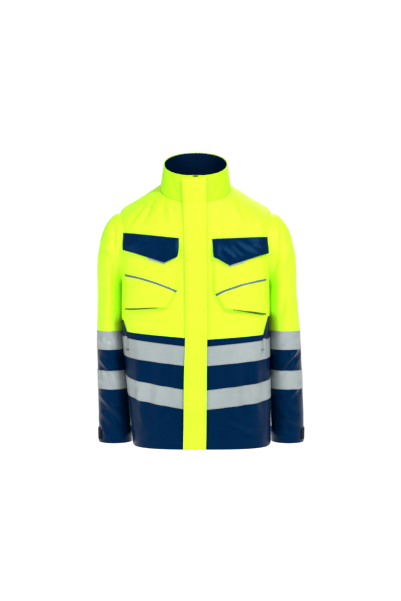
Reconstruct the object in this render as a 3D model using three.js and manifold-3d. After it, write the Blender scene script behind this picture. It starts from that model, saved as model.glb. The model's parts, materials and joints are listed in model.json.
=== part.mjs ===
// A foul weather work jacket with high-visibility panels, in the shape it has on an upright torso.
// Millimetres. While it is modelled, z = 0 is the hem, -y is the front and +x is the wearer's left.
// The finished group is shifted so that its origin is the hanging point, under the hanger loop's strap.
import * as THREE from "three";
import { mergeVertices } from "three/addons/utils/BufferGeometryUtils.js";
import Module from "manifold-3d";

const wasm = await Module();
wasm.setup();

// ---------------------------------------------------------------- driving dimensions
const neckHeight = 688; // hem to the neck seam at the side of the neck
const neckHalf = 95; // half width of the neck seam
const neckDepth = 85; // half depth of the neck seam
const neckTilt = 0.52; // rise of the neck seam from front to back, per mm
const collarHeight = 66;
const collarHalf = 86; // half width of the collar's top edge
const collarDepth = 77;
const shoulderDrop = 64; // neck point down to the shoulder tip
const chestHalf = 195; // half width just below the armhole
const shoulderHalf = chestHalf + 5;
const hemHalf = chestHalf - 8;
const hemShift = 17; // the hem hangs a little towards the wearer's left
const frontAtHem = -150; // y of the centre front line at the hem
const frontLean = 0.0608; // the centre front line leans back as it rises, per mm

const armholeRadius = 95; // of the sleeve's own end, which turns in the armhole
const armholeClear = 1.5;
const armholeY = 5;
const sleeveGap = 4; // sleeve off the side of the body
const cuffHeight = 40;
const sleeveSplit = 298; // height of the seam between the sleeve's two colours

const tape = 50; // width of the reflective bands
const upperTape = { centre: 264, side: 286 }; // top edge, at the centre front and at the side
const lowerTape = { centre: 150, side: 180 };
const sleeveTapes = [298, 190]; // top edges on the sleeve
const yokeSeam = { centre: 282, corner: 305, back: 330 };
const princess = 177; // x of the seam between front and side panel

const flapLeft = 29; // stitched edge of the storm flap, from the zip's centre
const flapRight = 33; // free edge
const flapStandoff = 3.4;
const flapThick = 2;
const zipGap = 7; // from the zip's centre to each front edge
const zipBottom = 6;
const zipTopGap = 4; // below the collar's top edge

const cloth = 2; // shell fabric with its backing
const lining = 1;
const liningDepth = 6; // lining's outer face below the shell's outer face
const skin = 1.1; // gap under anything sewn on top
const trim = 0.8; // thickness of a reflective band
const seam = 0.4; // gap that stands for a sewn seam

const pocket = {
  inner: 45, outer: 186, bottom: 351, top: 530, cutX: 28, cutZ: 46,
  under: 1.5, thickLow: 7, thickHigh: 2.2, // gap behind it, and its fullness at the bottom and the top
};
const pocketLift = { left: -4, right: 4 }; // the two chest pockets hang at slightly different heights
const pocketFlap = {
  inner: 44, outer: 187, innerTop: 542, outerTop: 551,
  innerLow: 497, outerLow: 509, tipX: 86, tipLow: 475,
  offLow: 8, offHigh: 3.2, thick: 1.6, // gap behind it at the tip and at the stitched edge
};

const loopHalf = 25; // hanger loop, half width outside
const loopTape = 2;
const loopDepth = 8;
const loopLeg = 28;
const loopBelowSeam = 18; // the strap's underside is this far below the neck seam

// ---------------------------------------------------------------- small helpers
const lerp = (a, b, t) => a + (b - a) * t;
const power = (v, p) => Math.sign(v) * Math.abs(v) ** p;
const frontLineY = (z) => frontAtHem + frontLean * z;

// A row of numbers read from a table at a height, straight between its rows.
function between(rows, key, at) {
  let i = 0;
  while (i < rows.length - 2 && at > rows[i + 1][key]) i++;
  const [low, high] = [rows[i], rows[i + 1]];
  const t = Math.min(1, Math.max(0, (at - low[key]) / (high[key] - low[key])));
  return Object.fromEntries(Object.keys(low).map((k) => [k, lerp(low[k], high[k], t)]));
}

const materials = {
  yellow: new THREE.MeshStandardMaterial({ color: 0xd9ff1f, roughness: 0.7, metalness: 0 }),
  navy: new THREE.MeshStandardMaterial({ color: 0x0a2547, roughness: 0.55, metalness: 0 }),
  lining: new THREE.MeshStandardMaterial({ color: 0x0b1c38, roughness: 0.5, metalness: 0 }),
  reflective: new THREE.MeshStandardMaterial({ color: 0xb9c2c4, roughness: 0.35, metalness: 0.3 }),
  piping: new THREE.MeshStandardMaterial({ color: 0x7e8890, roughness: 0.4, metalness: 0.2 }),
  black: new THREE.MeshStandardMaterial({ color: 0x101114, roughness: 0.8, metalness: 0 }),
  zip: new THREE.MeshStandardMaterial({ color: 0x14181f, roughness: 0.4, metalness: 0 }),
};

const jacket = new THREE.Group();

function add(name, geometry, material, group = jacket) {
  const mesh = new THREE.Mesh(geometry, materials[material]);
  mesh.name = name;
  group.add(mesh);
  return mesh;
}

// A sheet of cloth: a box with nu by nv cells whose corners are placed by place(u, v) and its normal.
// The cloth lies between the two offsets, measured outwards from the surface that place describes; an
// offset may be a function of (u, v) where the cloth's fullness varies.
function sheet(nu, nv, place, inner, outer) {
  const geometry = new THREE.BoxGeometry(1, 1, 1, nu, nv, 1);
  const position = geometry.attributes.position;
  const step = 1e-3;
  for (let i = 0; i < position.count; i++) {
    const [u, v] = [position.getX(i) + 0.5, position.getY(i) + 0.5];
    const [ui, vi] = [Math.min(u, 1 - step), Math.min(v, 1 - step)];
    const along = place(ui + step, vi).sub(place(ui, vi));
    const up = place(ui, vi + step).sub(place(ui, vi));
    const normal = along.cross(up).normalize();
    const offset = position.getZ(i) > 0 ? outer : inner;
    const p = place(u, v).addScaledVector(normal, typeof offset === "function" ? offset(u, v) : offset);
    position.setXYZ(i, p.x, p.y, p.z);
  }
  return geometry;
}

function solidOf(geometry) {
  const bare = geometry.clone();
  bare.deleteAttribute("normal");
  bare.deleteAttribute("uv");
  const merged = mergeVertices(bare, 1e-3);
  return new wasm.Manifold(new wasm.Mesh({
    numProp: 3,
    vertProperties: merged.attributes.position.array,
    triVerts: new Uint32Array(merged.index.array),
  }));
}

function geometryOf(solid) {
  const mesh = solid.getMesh();
  return new THREE.BufferGeometry()
    .setAttribute("position", new THREE.BufferAttribute(mesh.vertProperties, 3))
    .setIndex(new THREE.BufferAttribute(mesh.triVerts, 1));
}

// ---------------------------------------------------------------- the body's form
const tipHeight = neckHeight - shoulderDrop;
const armholeZ = tipHeight - armholeRadius - 2;
const armpit = armholeZ - armholeRadius;
const slope = (shoulderHalf - neckHalf) / shoulderDrop;
// The collar stands on the neck seam all round, so the seam's back lies as far behind its front as the
// collar's does, less a hair that keeps the yoke's edge inside it.
const neckBack = frontLineY(neckHeight - neckTilt * neckDepth) + 2 * neckDepth - 0.14296;

// Rings of the body from hem to neck: half width, back y, squareness, tilt and half depth where it is tilted.
const rings = [
  { h: 0, half: hemHalf, back: 120, square: 2.5, tilt: 0, shift: hemShift },
  { h: 100, half: hemHalf + 1.5, back: 121, square: 2.6, tilt: 0, shift: hemShift * 0.65 },
  { h: 200, half: hemHalf + 3, back: 122, square: 2.7, tilt: 0, shift: hemShift * 0.33 },
  { h: 350, half: chestHalf - 1, back: 128, square: 3, tilt: 0, shift: 0 },
  { h: armpit, half: chestHalf, back: 134, square: 3.8, tilt: 0, shift: 0 },
  { h: armpit + 30, half: chestHalf + 4, back: 136, square: 4.2, tilt: 0.02, shift: 0 },
  { h: armholeZ - 25, half: shoulderHalf + 3, back: 137, square: 4.6, tilt: 0.05, shift: 0 },
  { h: armholeZ + 30, half: shoulderHalf + 6, back: 134, square: 4.4, tilt: 0.15, shift: 0 },
  { h: tipHeight - 27, half: shoulderHalf + 5, back: 126, square: 3.2, tilt: 0.25, shift: 0 },
  { h: tipHeight, half: shoulderHalf, back: 112, square: 2.6, tilt: 0.33, shift: 0 },
  { h: tipHeight + 28, half: shoulderHalf - slope * 28, back: 85, square: 2.3, tilt: 0.42, shift: 0 },
  { h: neckHeight, half: neckHalf, back: neckBack, square: 2.15, tilt: neckTilt, shift: 0 },
];

const ringStore = new Map();
const ARC_STEPS = 160;

// A ring with arc length tables, so that cloth can be laid round it evenly.
function ringAt(h) {
  const key = h.toFixed(3);
  if (ringStore.has(key)) return ringStore.get(key);
  const r = between(rings, "h", h);
  // The centre front stays on its leaning line although the ring is tilted.
  let front = frontLineY(h);
  for (let i = 0; i < 4; i++) front = frontLineY(h - (r.tilt * (r.back - front)) / 2);
  const ring = { ...r, h, y: (front + r.back) / 2, depth: (r.back - front) / 2 };
  const at = (angle) => {
    const [s, c] = [Math.sin(angle), Math.cos(angle)];
    const x = ring.shift + ring.half * power(s, 2 / ring.square);
    const y = ring.y - ring.depth * power(c, 2 / ring.square);
    return new THREE.Vector3(x, y, h + ring.tilt * (y - ring.y));
  };
  // The centre front is at x = 0 even where the ring has shifted.
  const startS = power(-ring.shift / ring.half, ring.square / 2);
  const start = Math.asin(Math.max(-1, Math.min(1, startS)));
  const arc = (from, to) => {
    const points = [];
    let length = 0;
    for (let i = 0; i <= ARC_STEPS; i++) {
      const point = at(lerp(from, to, i / ARC_STEPS));
      if (i) length += point.distanceTo(points[i - 1].point);
      points.push({ point, length });
    }
    return points;
  };
  ring.arcs = [
    arc(start, Math.PI / 2),
    arc(Math.PI / 2, (3 * Math.PI) / 2),
    arc((3 * Math.PI) / 2, 2 * Math.PI + start),
  ];
  ringStore.set(key, ring);
  return ring;
}

function alongArc(points, share) {
  const wanted = share * points.at(-1).length;
  let i = 1;
  while (i < points.length - 1 && points[i].length < wanted) i++;
  const [a, b] = [points[i - 1], points[i]];
  return a.point.clone().lerp(b.point, (wanted - a.length) / (b.length - a.length || 1));
}

// q runs round the body: 0 centre front, 1 left side, 2 centre back, 3 right side, 4 centre front.
function body(q, h) {
  const ring = ringAt(h);
  if (q <= 1) return alongArc(ring.arcs[0], q);
  if (q <= 3) return alongArc(ring.arcs[1], (q - 1) / 2);
  return alongArc(ring.arcs[2], q - 3);
}

// q of a distance in millimetres from the zip's centre, on one side's front.
const frontArc = (side, h) => ringAt(h).arcs[side > 0 ? 0 : 2].at(-1).length;
const qOf = (side, mm, h) => (side > 0 ? mm / frontArc(side, h) : 4 - mm / frontArc(side, h));

// q of the point of a front at a given x.
function qAtX(side, x, h) {
  let [low, high] = [0, 1];
  for (let i = 0; i < 24; i++) {
    const mid = (low + high) / 2;
    if (Math.abs(body(side > 0 ? mid : 4 - mid, h).x) < x) low = mid;
    else high = mid;
  }
  return side > 0 ? low : 4 - low;
}

// The point of the front surface at x and z, found by stepping the ring's height.
function front(x, z) {
  let h = z;
  let y = 0;
  for (let i = 0; i < 8; i++) {
    const ring = ringAt(Math.min(neckHeight, Math.max(0, h)));
    const side = Math.min(0.999, Math.abs((x - ring.shift) / ring.half));
    y = ring.y - ring.depth * (1 - side ** ring.square) ** (1 / ring.square);
    h = z - ring.tilt * (y - ring.y);
  }
  return new THREE.Vector3(x, y, z);
}

// Cloth round the body from q0 to q1, with its low and high edge given for each q, in columns that all
// pieces share so that layers stay parallel.
function wrap(q0, q1, low, high, rows, inner, outer) {
  const columns = [q0(0)];
  for (let k = 1; k < 40; k++) {
    const q = k * 0.1;
    if (q > q0(0) + 0.04 && q < q1(0) - 0.04) columns.push(q);
  }
  columns.push(q1(0));
  const last = columns.length - 1;
  const place = (u, v) => {
    const i = Math.min(last - 1, Math.floor(u * last));
    const nominal = lerp(columns[i], columns[i + 1], u * last - i);
    const h = lerp(low(nominal), high(nominal), v);
    const share = (nominal - q0(0)) / (q1(0) - q0(0));
    const q = nominal + lerp(q0(h) - q0(0), q1(h) - q1(0), share);
    return body(q, h);
  };
  return sheet(last, rows, place, inner, outer);
}

// Height of a line that dips to the centre front: from its centre value to its side value.
function dipping(line, edge) {
  return (q) => {
    const share = q <= 1 ? q : q >= 3 ? 4 - q : 1;
    return lerp(line.centre, line.side, Math.min(1, share / 0.85)) + edge;
  };
}

const cornerQ = 0.8; // where the princess seam meets the yoke, along the front
const backCornerQ = 1.2;
const steep = (q) => Math.abs((q > 2 ? 4 - q : q) - 1) < 0.2;
// Lower edge of the yellow yoke all round: the dipping seam, a steep edge up to the armpit, and the back.
function yokeLine(q) {
  const share = q > 2 ? 4 - q : q;
  if (share <= cornerQ) return lerp(yokeSeam.centre, yokeSeam.corner, share / cornerQ);
  if (share <= 1) return lerp(yokeSeam.corner, armpit - 6, (share - cornerQ) / (1 - cornerQ));
  if (share <= backCornerQ) return lerp(armpit - 6, yokeSeam.back, (share - 1) / (backCornerQ - 1));
  return yokeSeam.back;
}

const sides = [["left", 1], ["right", -1]];
const zipEdge = (side) => (h) => qOf(side, zipGap, h);
const seamQ = (q, mm) => () => q + mm / 240; // a quarter of the body is about 240 mm round
const at = (h) => () => h;

// The armhole as a cylinder across the body; it cuts the shell, the lining and the side panels alike.
function armholeCutter(side) {
  const length = 140;
  const cylinder = new THREE.CylinderGeometry(
    armholeRadius + armholeClear, armholeRadius + armholeClear, length, 40, 1,
  );
  cylinder.rotateZ(Math.PI / 2);
  cylinder.rotateX(0.02); // so that no corner of it falls on a side seam
  cylinder.translate(side * (chestHalf - 55 + length / 2), armholeY, armholeZ);
  return solidOf(cylinder);
}
const armholes = sides.map(([, side]) => armholeCutter(side));
// The small slivers that a cut leaves are closed up afterwards.
const cutArmholes = (geometry) => geometryOf(
  armholes.reduce((solid, cutter) => solid.subtract(cutter), solidOf(geometry)).simplify(0.1),
);

// ---------------------------------------------------------------- shell and lining of the body
const frontRange = (side, from, to) => (side > 0 ? [from, to] : [to, from]);

function makeFronts() {
  const half = seam / 2;
  for (const [name, side] of sides) {
    const sideQ = seamQ(side > 0 ? 1 : 3, (-side * half));
    const seamLine = seamQ(side > 0 ? cornerQ : 4 - cornerQ, -side * half);
    const beyond = seamQ(side > 0 ? cornerQ : 4 - cornerQ, side * half);
    const upTo = seamQ(side > 0 ? backCornerQ : 4 - backCornerQ, -side * half);
    const yokeLow = (q) => yokeLine(q) + (steep(q) ? 4 * half : half);
    const skirtTop = (q) => yokeLine(q) - (steep(q) ? 4 * half : half);
    add(`${name}_front_yoke`, cutArmholes(wrap(
      ...frontRange(side, zipEdge(side), sideQ), yokeLow, at(neckHeight - half), 10, -cloth, 0,
    )), "yellow");
    add(`${name}_front_skirt`, wrap(
      ...frontRange(side, zipEdge(side), seamLine), at(0), skirtTop, 6, -cloth, 0,
    ), "navy");
    add(`${name}_side_panel`, cutArmholes(wrap(
      ...frontRange(side, beyond, upTo), at(0), skirtTop, 6, -cloth, 0,
    )), "navy");
  }
}

function makeBack() {
  const half = seam / 2;
  add("back_yoke", cutArmholes(wrap(
    seamQ(1, half), seamQ(3, -half), (q) => yokeLine(q) + (steep(q) ? 4 * half : half),
    at(neckHeight - half), 10, -cloth, 0,
  )), "yellow");
  add("back_skirt", wrap(
    seamQ(backCornerQ, half), seamQ(4 - backCornerQ, -half), at(0), at(yokeSeam.back - half), 6, -cloth, 0,
  ), "navy");
}

const facing = 20; // the lining starts this far from the zip's centre

function makeBodyLining() {
  const half = seam / 2;
  const [outer, inner] = [-liningDepth, -liningDepth - lining];
  const top = at(neckHeight - 4);
  for (const [name, side] of sides) {
    add(`${name}_front_lining`, cutArmholes(wrap(
      ...frontRange(side, (h) => qOf(side, facing, h), seamQ(side > 0 ? 1 : 3, -side * half)),
      at(8), top, 8, inner, outer,
    )), "lining");
  }
  add("back_lining", cutArmholes(wrap(
    seamQ(1, half), seamQ(3, -half), at(8), top, 8, inner, outer,
  )), "lining");
}

// ---------------------------------------------------------------- collar and hanger loop
const collarTopH = neckHeight + collarHeight;
const collarFrontZ = collarTopH - neckTilt * collarDepth;

// A point of the collar's outer surface: round from the left front (0) to the right front (1), and up.
function collar(share, up) {
  const half = lerp(neckHalf, collarHalf, up);
  const depth = lerp(neckDepth, collarDepth, up);
  const h = lerp(neckHeight + seam, collarTopH, up);
  const frontY = frontLineY(h - neckTilt * depth);
  const angle = share * 2 * Math.PI;
  const square = 2.15;
  const y = frontY + depth - depth * power(Math.cos(angle), 2 / square);
  return new THREE.Vector3(half * power(Math.sin(angle), 2 / square), y, h + neckTilt * (y - frontY - depth));
}

function makeCollar() {
  const opening = 0.01; // half of the gap for the zip, as a share of the way round
  const place = (u, v) => collar(lerp(opening, 1 - opening, u), v);
  const inside = (u, v) => collar(lerp(opening * 3.4, 1 - opening * 3.4, u), lerp(0.02, 0.99, v));
  add("collar_outer", sheet(22, 2, place, -cloth, 0), "yellow");
  add("collar_lining", sheet(22, 2, inside, -cloth - 2.1, -cloth - 1.1), "lining");
}

const loopTop = neckHeight + neckTilt * neckDepth - loopBelowSeam; // height of the strap's underside
const loopY = frontLineY(neckHeight - neckTilt * neckDepth) + 2 * neckDepth - 15;

function makeHangerLoop() {
  const outline = new THREE.Shape();
  outline.moveTo(-loopHalf, -loopLeg);
  outline.lineTo(-loopHalf, loopTape);
  outline.lineTo(loopHalf, loopTape);
  outline.lineTo(loopHalf, -loopLeg);
  outline.lineTo(loopHalf - loopTape, -loopLeg);
  outline.lineTo(loopHalf - loopTape, 0);
  outline.lineTo(-loopHalf + loopTape, 0);
  outline.lineTo(-loopHalf + loopTape, -loopLeg);
  outline.closePath();
  const geometry = new THREE.ExtrudeGeometry(outline, { depth: loopDepth, bevelEnabled: false });
  const mesh = add("hanger_loop", geometry, "lining");
  mesh.rotation.x = Math.PI / 2;
  mesh.position.set(0, loopY + loopDepth / 2, loopTop);
}

// ---------------------------------------------------------------- zip and storm flap
// Both stand in a group that leans with the centre front: its y is the distance behind the front line.
const frontGroup = new THREE.Group();
frontGroup.position.set(0, frontAtHem, 0);
frontGroup.rotation.x = -Math.atan(frontLean);
jacket.add(frontGroup);
const frontLength = collarFrontZ * Math.hypot(1, frontLean); // hem to collar top along the line

function slab(name, x0, x1, y0, y1, z0, z1, material) {
  const geometry = new THREE.BoxGeometry(x1 - x0, y1 - y0, z1 - z0);
  const mesh = add(name, geometry, material, frontGroup);
  mesh.position.set((x0 + x1) / 2, (y0 + y1) / 2, (z0 + z1) / 2);
  return mesh;
}

const teethHalf = 3.1;
const teethSlit = 0.8; // half of the slit between the rows, for the slider's web
const teethFront = 0.6;
const teethBack = cloth + 1.6; // the tapes run behind the shell cloth, inside the teeth's depth
const zipTop = frontLength - zipTopGap;

function makeZip() {
  const tapeY = cloth + 1.0;
  for (const [name, side] of sides) {
    const [near, far] = [side * (teethHalf + 0.3), side * 12];
    slab(`${name}_zip_tape`, Math.min(near, far), Math.max(near, far), tapeY, tapeY + 0.8,
      zipBottom, zipTop, "zip");
    const [a, b] = [side * teethSlit, side * teethHalf];
    slab(`${name}_zip_teeth`, Math.min(a, b), Math.max(a, b), teethFront, teethBack,
      zipBottom + 12, zipTop - 4, "zip");
  }
  slab("zip_bottom_box", -teethHalf, teethHalf, teethFront - 0.4, teethBack + 0.4, zipBottom, zipBottom + 11.6, "zip");
}

const sliderHeight = 11;
const sliderZ = zipTop - 4 - sliderHeight / 2 - 1;

// The slider: a front and a back plate round the teeth, held together by a thin web between the rows.
function makeSlider() {
  const clear = 0.3;
  const plate = 0.8;
  const box = (w, d, h, y) => {
    const geometry = new THREE.BoxGeometry(w, d, h);
    geometry.translate(0, y, 0);
    return solidOf(geometry);
  };
  const frontY = teethFront - clear - plate / 2;
  const backY = teethBack + clear + plate / 2;
  const web = box(0.8, backY - frontY, sliderHeight - 4, (frontY + backY) / 2);
  const eye = box(3, 0.9, 4, frontY - plate / 2 - 0.35);
  const solid = box(8.4, plate, sliderHeight, frontY)
    .add(box(8.4, plate, sliderHeight, backY)).add(web).add(eye);
  const slider = add("main_slider", geometryOf(solid), "zip", frontGroup);
  slider.position.z = sliderZ;
  const puller = new THREE.Shape();
  puller.moveTo(-2.4, 0);
  puller.lineTo(2.4, 0);
  puller.lineTo(3, -20);
  puller.absarc(0, -20, 3, 0, Math.PI, true);
  puller.closePath();
  const geometry = new THREE.ExtrudeGeometry(puller, { depth: 0.9, bevelEnabled: false, curveSegments: 6 });
  const mesh = add("main_puller", geometry, "zip", frontGroup);
  mesh.rotation.x = Math.PI / 2;
  mesh.position.set(0, frontY - plate / 2 - 0.4, sliderZ - 2.6);
}

const hookWide = 16;
const hookThick = (flapStandoff - 1.4) / 2; // hook and loop tapes, closed, fill the gap under the flap

function makeStormFlap() {
  const [y0, y1] = [-flapStandoff - flapThick, -flapStandoff];
  slab("storm_flap", -flapRight, flapLeft - 0.5, y0, y1, 0, frontLength - 5, "yellow");
  // Hook tape under the free edge, and the loop tape that it closes on.
  const [x0, x1] = [-flapRight + 4, -flapRight + 4 + hookWide];
  slab("flap_hook_tape", x0, x1, y1 + 0.2, y1 + 0.2 + hookThick, 30, frontLength - 90, "black");
  slab("front_loop_tape", x0, x1, -0.8 - hookThick, -0.8, 30, frontLength - 90, "black");
}

// ---------------------------------------------------------------- reflective bands
function makeBands() {
  const [inner, outer] = [skin, skin + trim];
  const bands = [["upper", upperTape], ["lower", lowerTape]];
  for (const [level, line] of bands) {
    const [low, high] = [dipping(line, -tape), dipping(line, 0)];
    for (const [name, side] of sides) {
      const start = (h) => qOf(side, flapRight + 3, h);
      add(`${level}_band_${name}_front`, wrap(
        ...frontRange(side, start, seamQ(side > 0 ? 1 : 3, -side * seam)), low, high, 1, inner, outer,
      ), "reflective");
    }
    add(`${level}_band_back`, wrap(
      seamQ(1, seam), seamQ(3, -seam), low, high, 1, inner, outer,
    ), "reflective");
  }
}

// ---------------------------------------------------------------- pockets
// A patch in front view coordinates: rows of z, and the inner and outer x of each row.
function patch(side, rows, xs, z, inner, outer, columns) {
  const place = (u, v) => {
    const share = side > 0 ? u : 1 - u;
    const height = z(share, v);
    const [near, far] = xs(height);
    return front(side * lerp(near, far, share), height);
  };
  return sheet(columns, rows, place, inner, outer);
}

function makeChestPocket(name, side) {
  const lift = pocketLift[name];
  const low = pocket.bottom + lift;
  const high = pocket.top + lift;
  const xs = (z) => [
    pocket.inner + pocket.cutX * Math.max(0, 1 - (z - low) / pocket.cutZ), pocket.outer,
  ];
  const { under, thickLow, thickHigh } = pocket;
  add(`${name}_chest_pocket`, patch(side, 6, xs, (u, v) => lerp(low, high, v),
    under, (u, v) => under + lerp(thickLow, thickHigh, v), 12), "yellow");
  const [pipeInner, pipeOuter, pipeWide] = [pocket.bottom + 49, pocket.top - 86, 5];
  const rise = (u) => Math.sin((u * Math.PI) / 2.6) / Math.sin(Math.PI / 2.6);
  const pipeOff = (u) => {
    const share = side > 0 ? u : 1 - u;
    const v = (lerp(pipeInner, pipeOuter, rise(share)) - pocket.bottom) / (pocket.top - pocket.bottom);
    return under + lerp(thickLow, thickHigh, v) + 0.5;
  };
  add(`${name}_pocket_piping`, patch(side, 1, () => [pocket.inner + 1, pocket.outer - 1],
    (u, v) => lerp(pipeInner, pipeOuter, rise(u)) + lift + (v - 0.5) * pipeWide,
    pipeOff, (u) => pipeOff(u) + 0.7, 12), "piping");
  const f = pocketFlap;
  const flapLow = (u) => {
    const x = lerp(f.inner, f.outer, u);
    if (x < f.tipX) return lerp(f.innerLow, f.tipLow, (x - f.inner) / (f.tipX - f.inner));
    return lerp(f.tipLow, f.outerLow, (x - f.tipX) / (f.outer - f.tipX));
  };
  const flapTop = (u) => lerp(f.innerTop, f.outerTop, u);
  const tip = (f.tipX - f.inner) / (f.outer - f.inner);
  const stops = [0, tip / 2, tip, 0.4, 0.52, 0.64, 0.74, 0.83, 0.92, 1];
  const stop = (u) => {
    const k = Math.min(stops.length - 2, Math.floor(u * (stops.length - 1)));
    return lerp(stops[k], stops[k + 1], u * (stops.length - 1) - k);
  };
  const off = (u, v) => lerp(f.offLow, f.offHigh, v);
  add(`${name}_chest_flap`, sheet(stops.length - 1, 3, (u, v) => {
    const share = stop(side > 0 ? u : 1 - u);
    const z = lerp(flapLow(share), flapTop(share), v) + lift;
    return front(side * lerp(f.inner, f.outer, share), z);
  }, off, (u, v) => off(u, v) + f.thick), "navy");
  // A short pull tab sewn under the flap, showing a few millimetres below it.
  const tabInner = f.tipX + 2;
  add(`${name}_flap_tab`, patch(side, 1, () => [tabInner, tabInner + 46],
    (u, v) => flapLow((lerp(tabInner, tabInner + 46, u) - f.inner) / (f.outer - f.inner)) + lift
      + lerp(-5, 6, v),
    f.offLow - 1.4, f.offLow - 0.7, 2), "reflective");
}

// The skirt is made of flat facets, which fall inside the curve of the front by an amount that grows with
// the jacket's girth, so the bag behind it stands off in the same measure.
const bagGap = chestHalf / 162.5;

function makeHandPocket(name, side) {
  const [low, high] = [250, 344];
  const line = (z) => (z < yokeSeam.corner
    ? princess + 1
    : lerp(princess + 1, princess + 10, (z - yokeSeam.corner) / 40));
  add(`${name}_hand_pocket_welt`, patch(side, 4, (z) => [line(z) - 5, line(z) + 4],
    (u, v) => lerp(low, high, v), skin + trim + 0.8, skin + trim + 2, 1), "navy");
  const bagQ = (q) => () => (side > 0 ? q : 4 - q);
  add(`${name}_hand_pocket_bag`, wrap(
    ...frontRange(side, bagQ(0.3), bagQ(0.78)), at(90), at(270), 2, -cloth - bagGap - 1.8, -cloth - bagGap,
  ), "lining");
}

// ---------------------------------------------------------------- sleeves
// Stations of a sleeve: its sections turn about the armpit from upright (angle 0) to level (90), and
// then go down. near is the inner edge's x, level its height, reach the width, depth half the depth.
const sleeveX = chestHalf + sleeveGap;
const sleeveStations = {
  left: [
    { s: 0, angle: 0, near: sleeveX - 23, level: armpit, reach: 190, depth: 95, y: 0 },
    { s: 1, angle: 0, near: sleeveX, level: armpit, reach: 190, depth: 95, y: 0 },
    { s: 2, angle: 15, near: sleeveX, level: armpit - 3, reach: 162, depth: 91, y: 0 },
    { s: 3, angle: 30, near: sleeveX, level: armpit - 6, reach: 128, depth: 86, y: 0 },
    { s: 4, angle: 50, near: sleeveX, level: armpit - 9, reach: 95, depth: 80, y: 0 },
    { s: 5, angle: 70, near: sleeveX, level: armpit - 12, reach: 79, depth: 75, y: 0 },
    { s: 6, angle: 90, near: sleeveX, level: armpit - 16, reach: 75, depth: 73, y: 0 },
    { s: 7, angle: 90, near: sleeveX + 3, level: sleeveSplit, reach: 83, depth: 64, y: -3 },
    { s: 8, angle: 90, near: sleeveX + 6, level: 200, reach: 85, depth: 57, y: -6 },
    { s: 9, angle: 90, near: sleeveX + 9, level: 100, reach: 86, depth: 49, y: -11 },
    { s: 10, angle: 90, near: sleeveX + 10, level: cuffHeight, reach: 86, depth: 45, y: -15 },
    { s: 11, angle: 90, near: sleeveX + 10, level: 0, reach: 85, depth: 43, y: -17 },
  ],
};
const rightSleeve = {
  3: { near: 0, reach: 122 }, 4: { near: 0, reach: 87 }, 5: { near: 0, reach: 71 },
  6: { near: 1, reach: 66 }, 7: { near: -2.5, reach: 73 }, 8: { near: -8, reach: 77 },
  9: { near: -16, reach: 83 }, 10: { near: -21, reach: 87 }, 11: { near: -23, reach: 88 },
};
sleeveStations.right = sleeveStations.left.map((row) => {
  const own = rightSleeve[row.s];
  return own ? { ...row, near: sleeveX + own.near, reach: own.reach } : row;
});

function sleevePoint(name, side, around, s) {
  const r = between(sleeveStations[name], "s", s);
  const lean = THREE.MathUtils.degToRad(r.angle);
  const turn = around * 2 * Math.PI;
  const square = 2;
  const across = (r.reach / 2) * (1 - power(Math.cos(turn), 2 / square));
  const y = armholeY + r.y - side * r.depth * power(Math.sin(turn), 2 / square);
  return new THREE.Vector3(side * (r.near + across * Math.sin(lean)), y, r.level + across * Math.cos(lean));
}

// The station at a height on the straight part of the sleeve.
function stationAt(name, level) {
  const rows = sleeveStations[name];
  let i = 6;
  while (i < rows.length - 2 && level < rows[i + 1].level) i++;
  return i + (level - rows[i].level) / (rows[i + 1].level - rows[i].level);
}

// Cloth round a sleeve between two stations, through the stations that lie between them.
function sleeveCloth(name, side, from, to, inner, outer, gap = 0.0015, round = 16) {
  const stops = [from, ...sleeveStations[name].map((r) => r.s).filter((s) => s > from + 0.05 && s < to - 0.05), to];
  const last = stops.length - 1;
  const place = (u, v) => {
    const i = Math.min(last - 1, Math.floor((1 - v) * last));
    const s = lerp(stops[i], stops[i + 1], (1 - v) * last - i);
    return sleevePoint(name, side, lerp(gap, 1 - gap, u), s);
  };
  return sheet(round, last, place, inner, outer);
}

const tabSpan = { from: 0.385, to: 0.68, low: 7, high: 37 }; // share of the way round the cuff

function makeSleeve(name, side) {
  const split = stationAt(name, sleeveSplit);
  const step = 0.006;
  const cuff = stationAt(name, cuffHeight);
  add(`${name}_sleeve_upper`, sleeveCloth(name, side, 0, split - step / 2, -cloth, 0), "yellow");
  add(`${name}_sleeve_lower`, sleeveCloth(name, side, split + step / 2, cuff - step / 2, -cloth, 0), "navy");
  add(`${name}_cuff`, sleeveCloth(name, side, cuff + step / 2, 11, -cloth - 0.6, 0), "navy");
  add(`${name}_sleeve_lining`, sleeveCloth(name, side, 0.1, cuff - 0.05, -5, -4, 0.003), "lining");
  sleeveTapes.forEach((top, k) => {
    const [from, to] = [stationAt(name, top), stationAt(name, top - tape)];
    const level = k ? "lower" : "upper";
    add(`${name}_sleeve_${level}_band`, sleeveCloth(name, side, from, to, skin, skin + trim, 0.004), "reflective");
  });
  const place = (u, v) => {
    const around = side > 0 ? lerp(tabSpan.from, tabSpan.to, u) : 1 - lerp(tabSpan.to, tabSpan.from, u);
    return sleevePoint(name, side, around, stationAt(name, lerp(tabSpan.low, tabSpan.high, v)));
  };
  add(`${name}_cuff_tab`, sheet(6, 1, place, 1.4, 3.2), "black");
}

// ---------------------------------------------------------------- assembly
makeFronts();
makeBack();
makeBodyLining();
makeCollar();
makeHangerLoop();
makeZip();
makeSlider();
makeStormFlap();
makeBands();
for (const [name, side] of sides) {
  makeChestPocket(name, side);
  makeHandPocket(name, side);
  makeSleeve(name, side);
}

const origin = new THREE.Vector3(0, loopY, loopTop);
jacket.position.copy(origin).negate();

export default jacket;
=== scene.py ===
# %% [markdown]
# # A foul weather work jacket
#
# This lesson builds the looks of a two-colour jacket: fluorescent yellow above, coated navy below, with
# reflective bands, a storm flap over the zip, flapped chest pockets and tabs at the cuffs. The plain solids
# and their joints are loaded first and never moved. Every piece that is made here takes the place of one of
# them, and most ride on the same body, so that they move when the joint does; the storm flap, the chest flaps
# and the cuff tabs are left where they are built.

# %% Load the fixed solids
import json
import math

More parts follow.
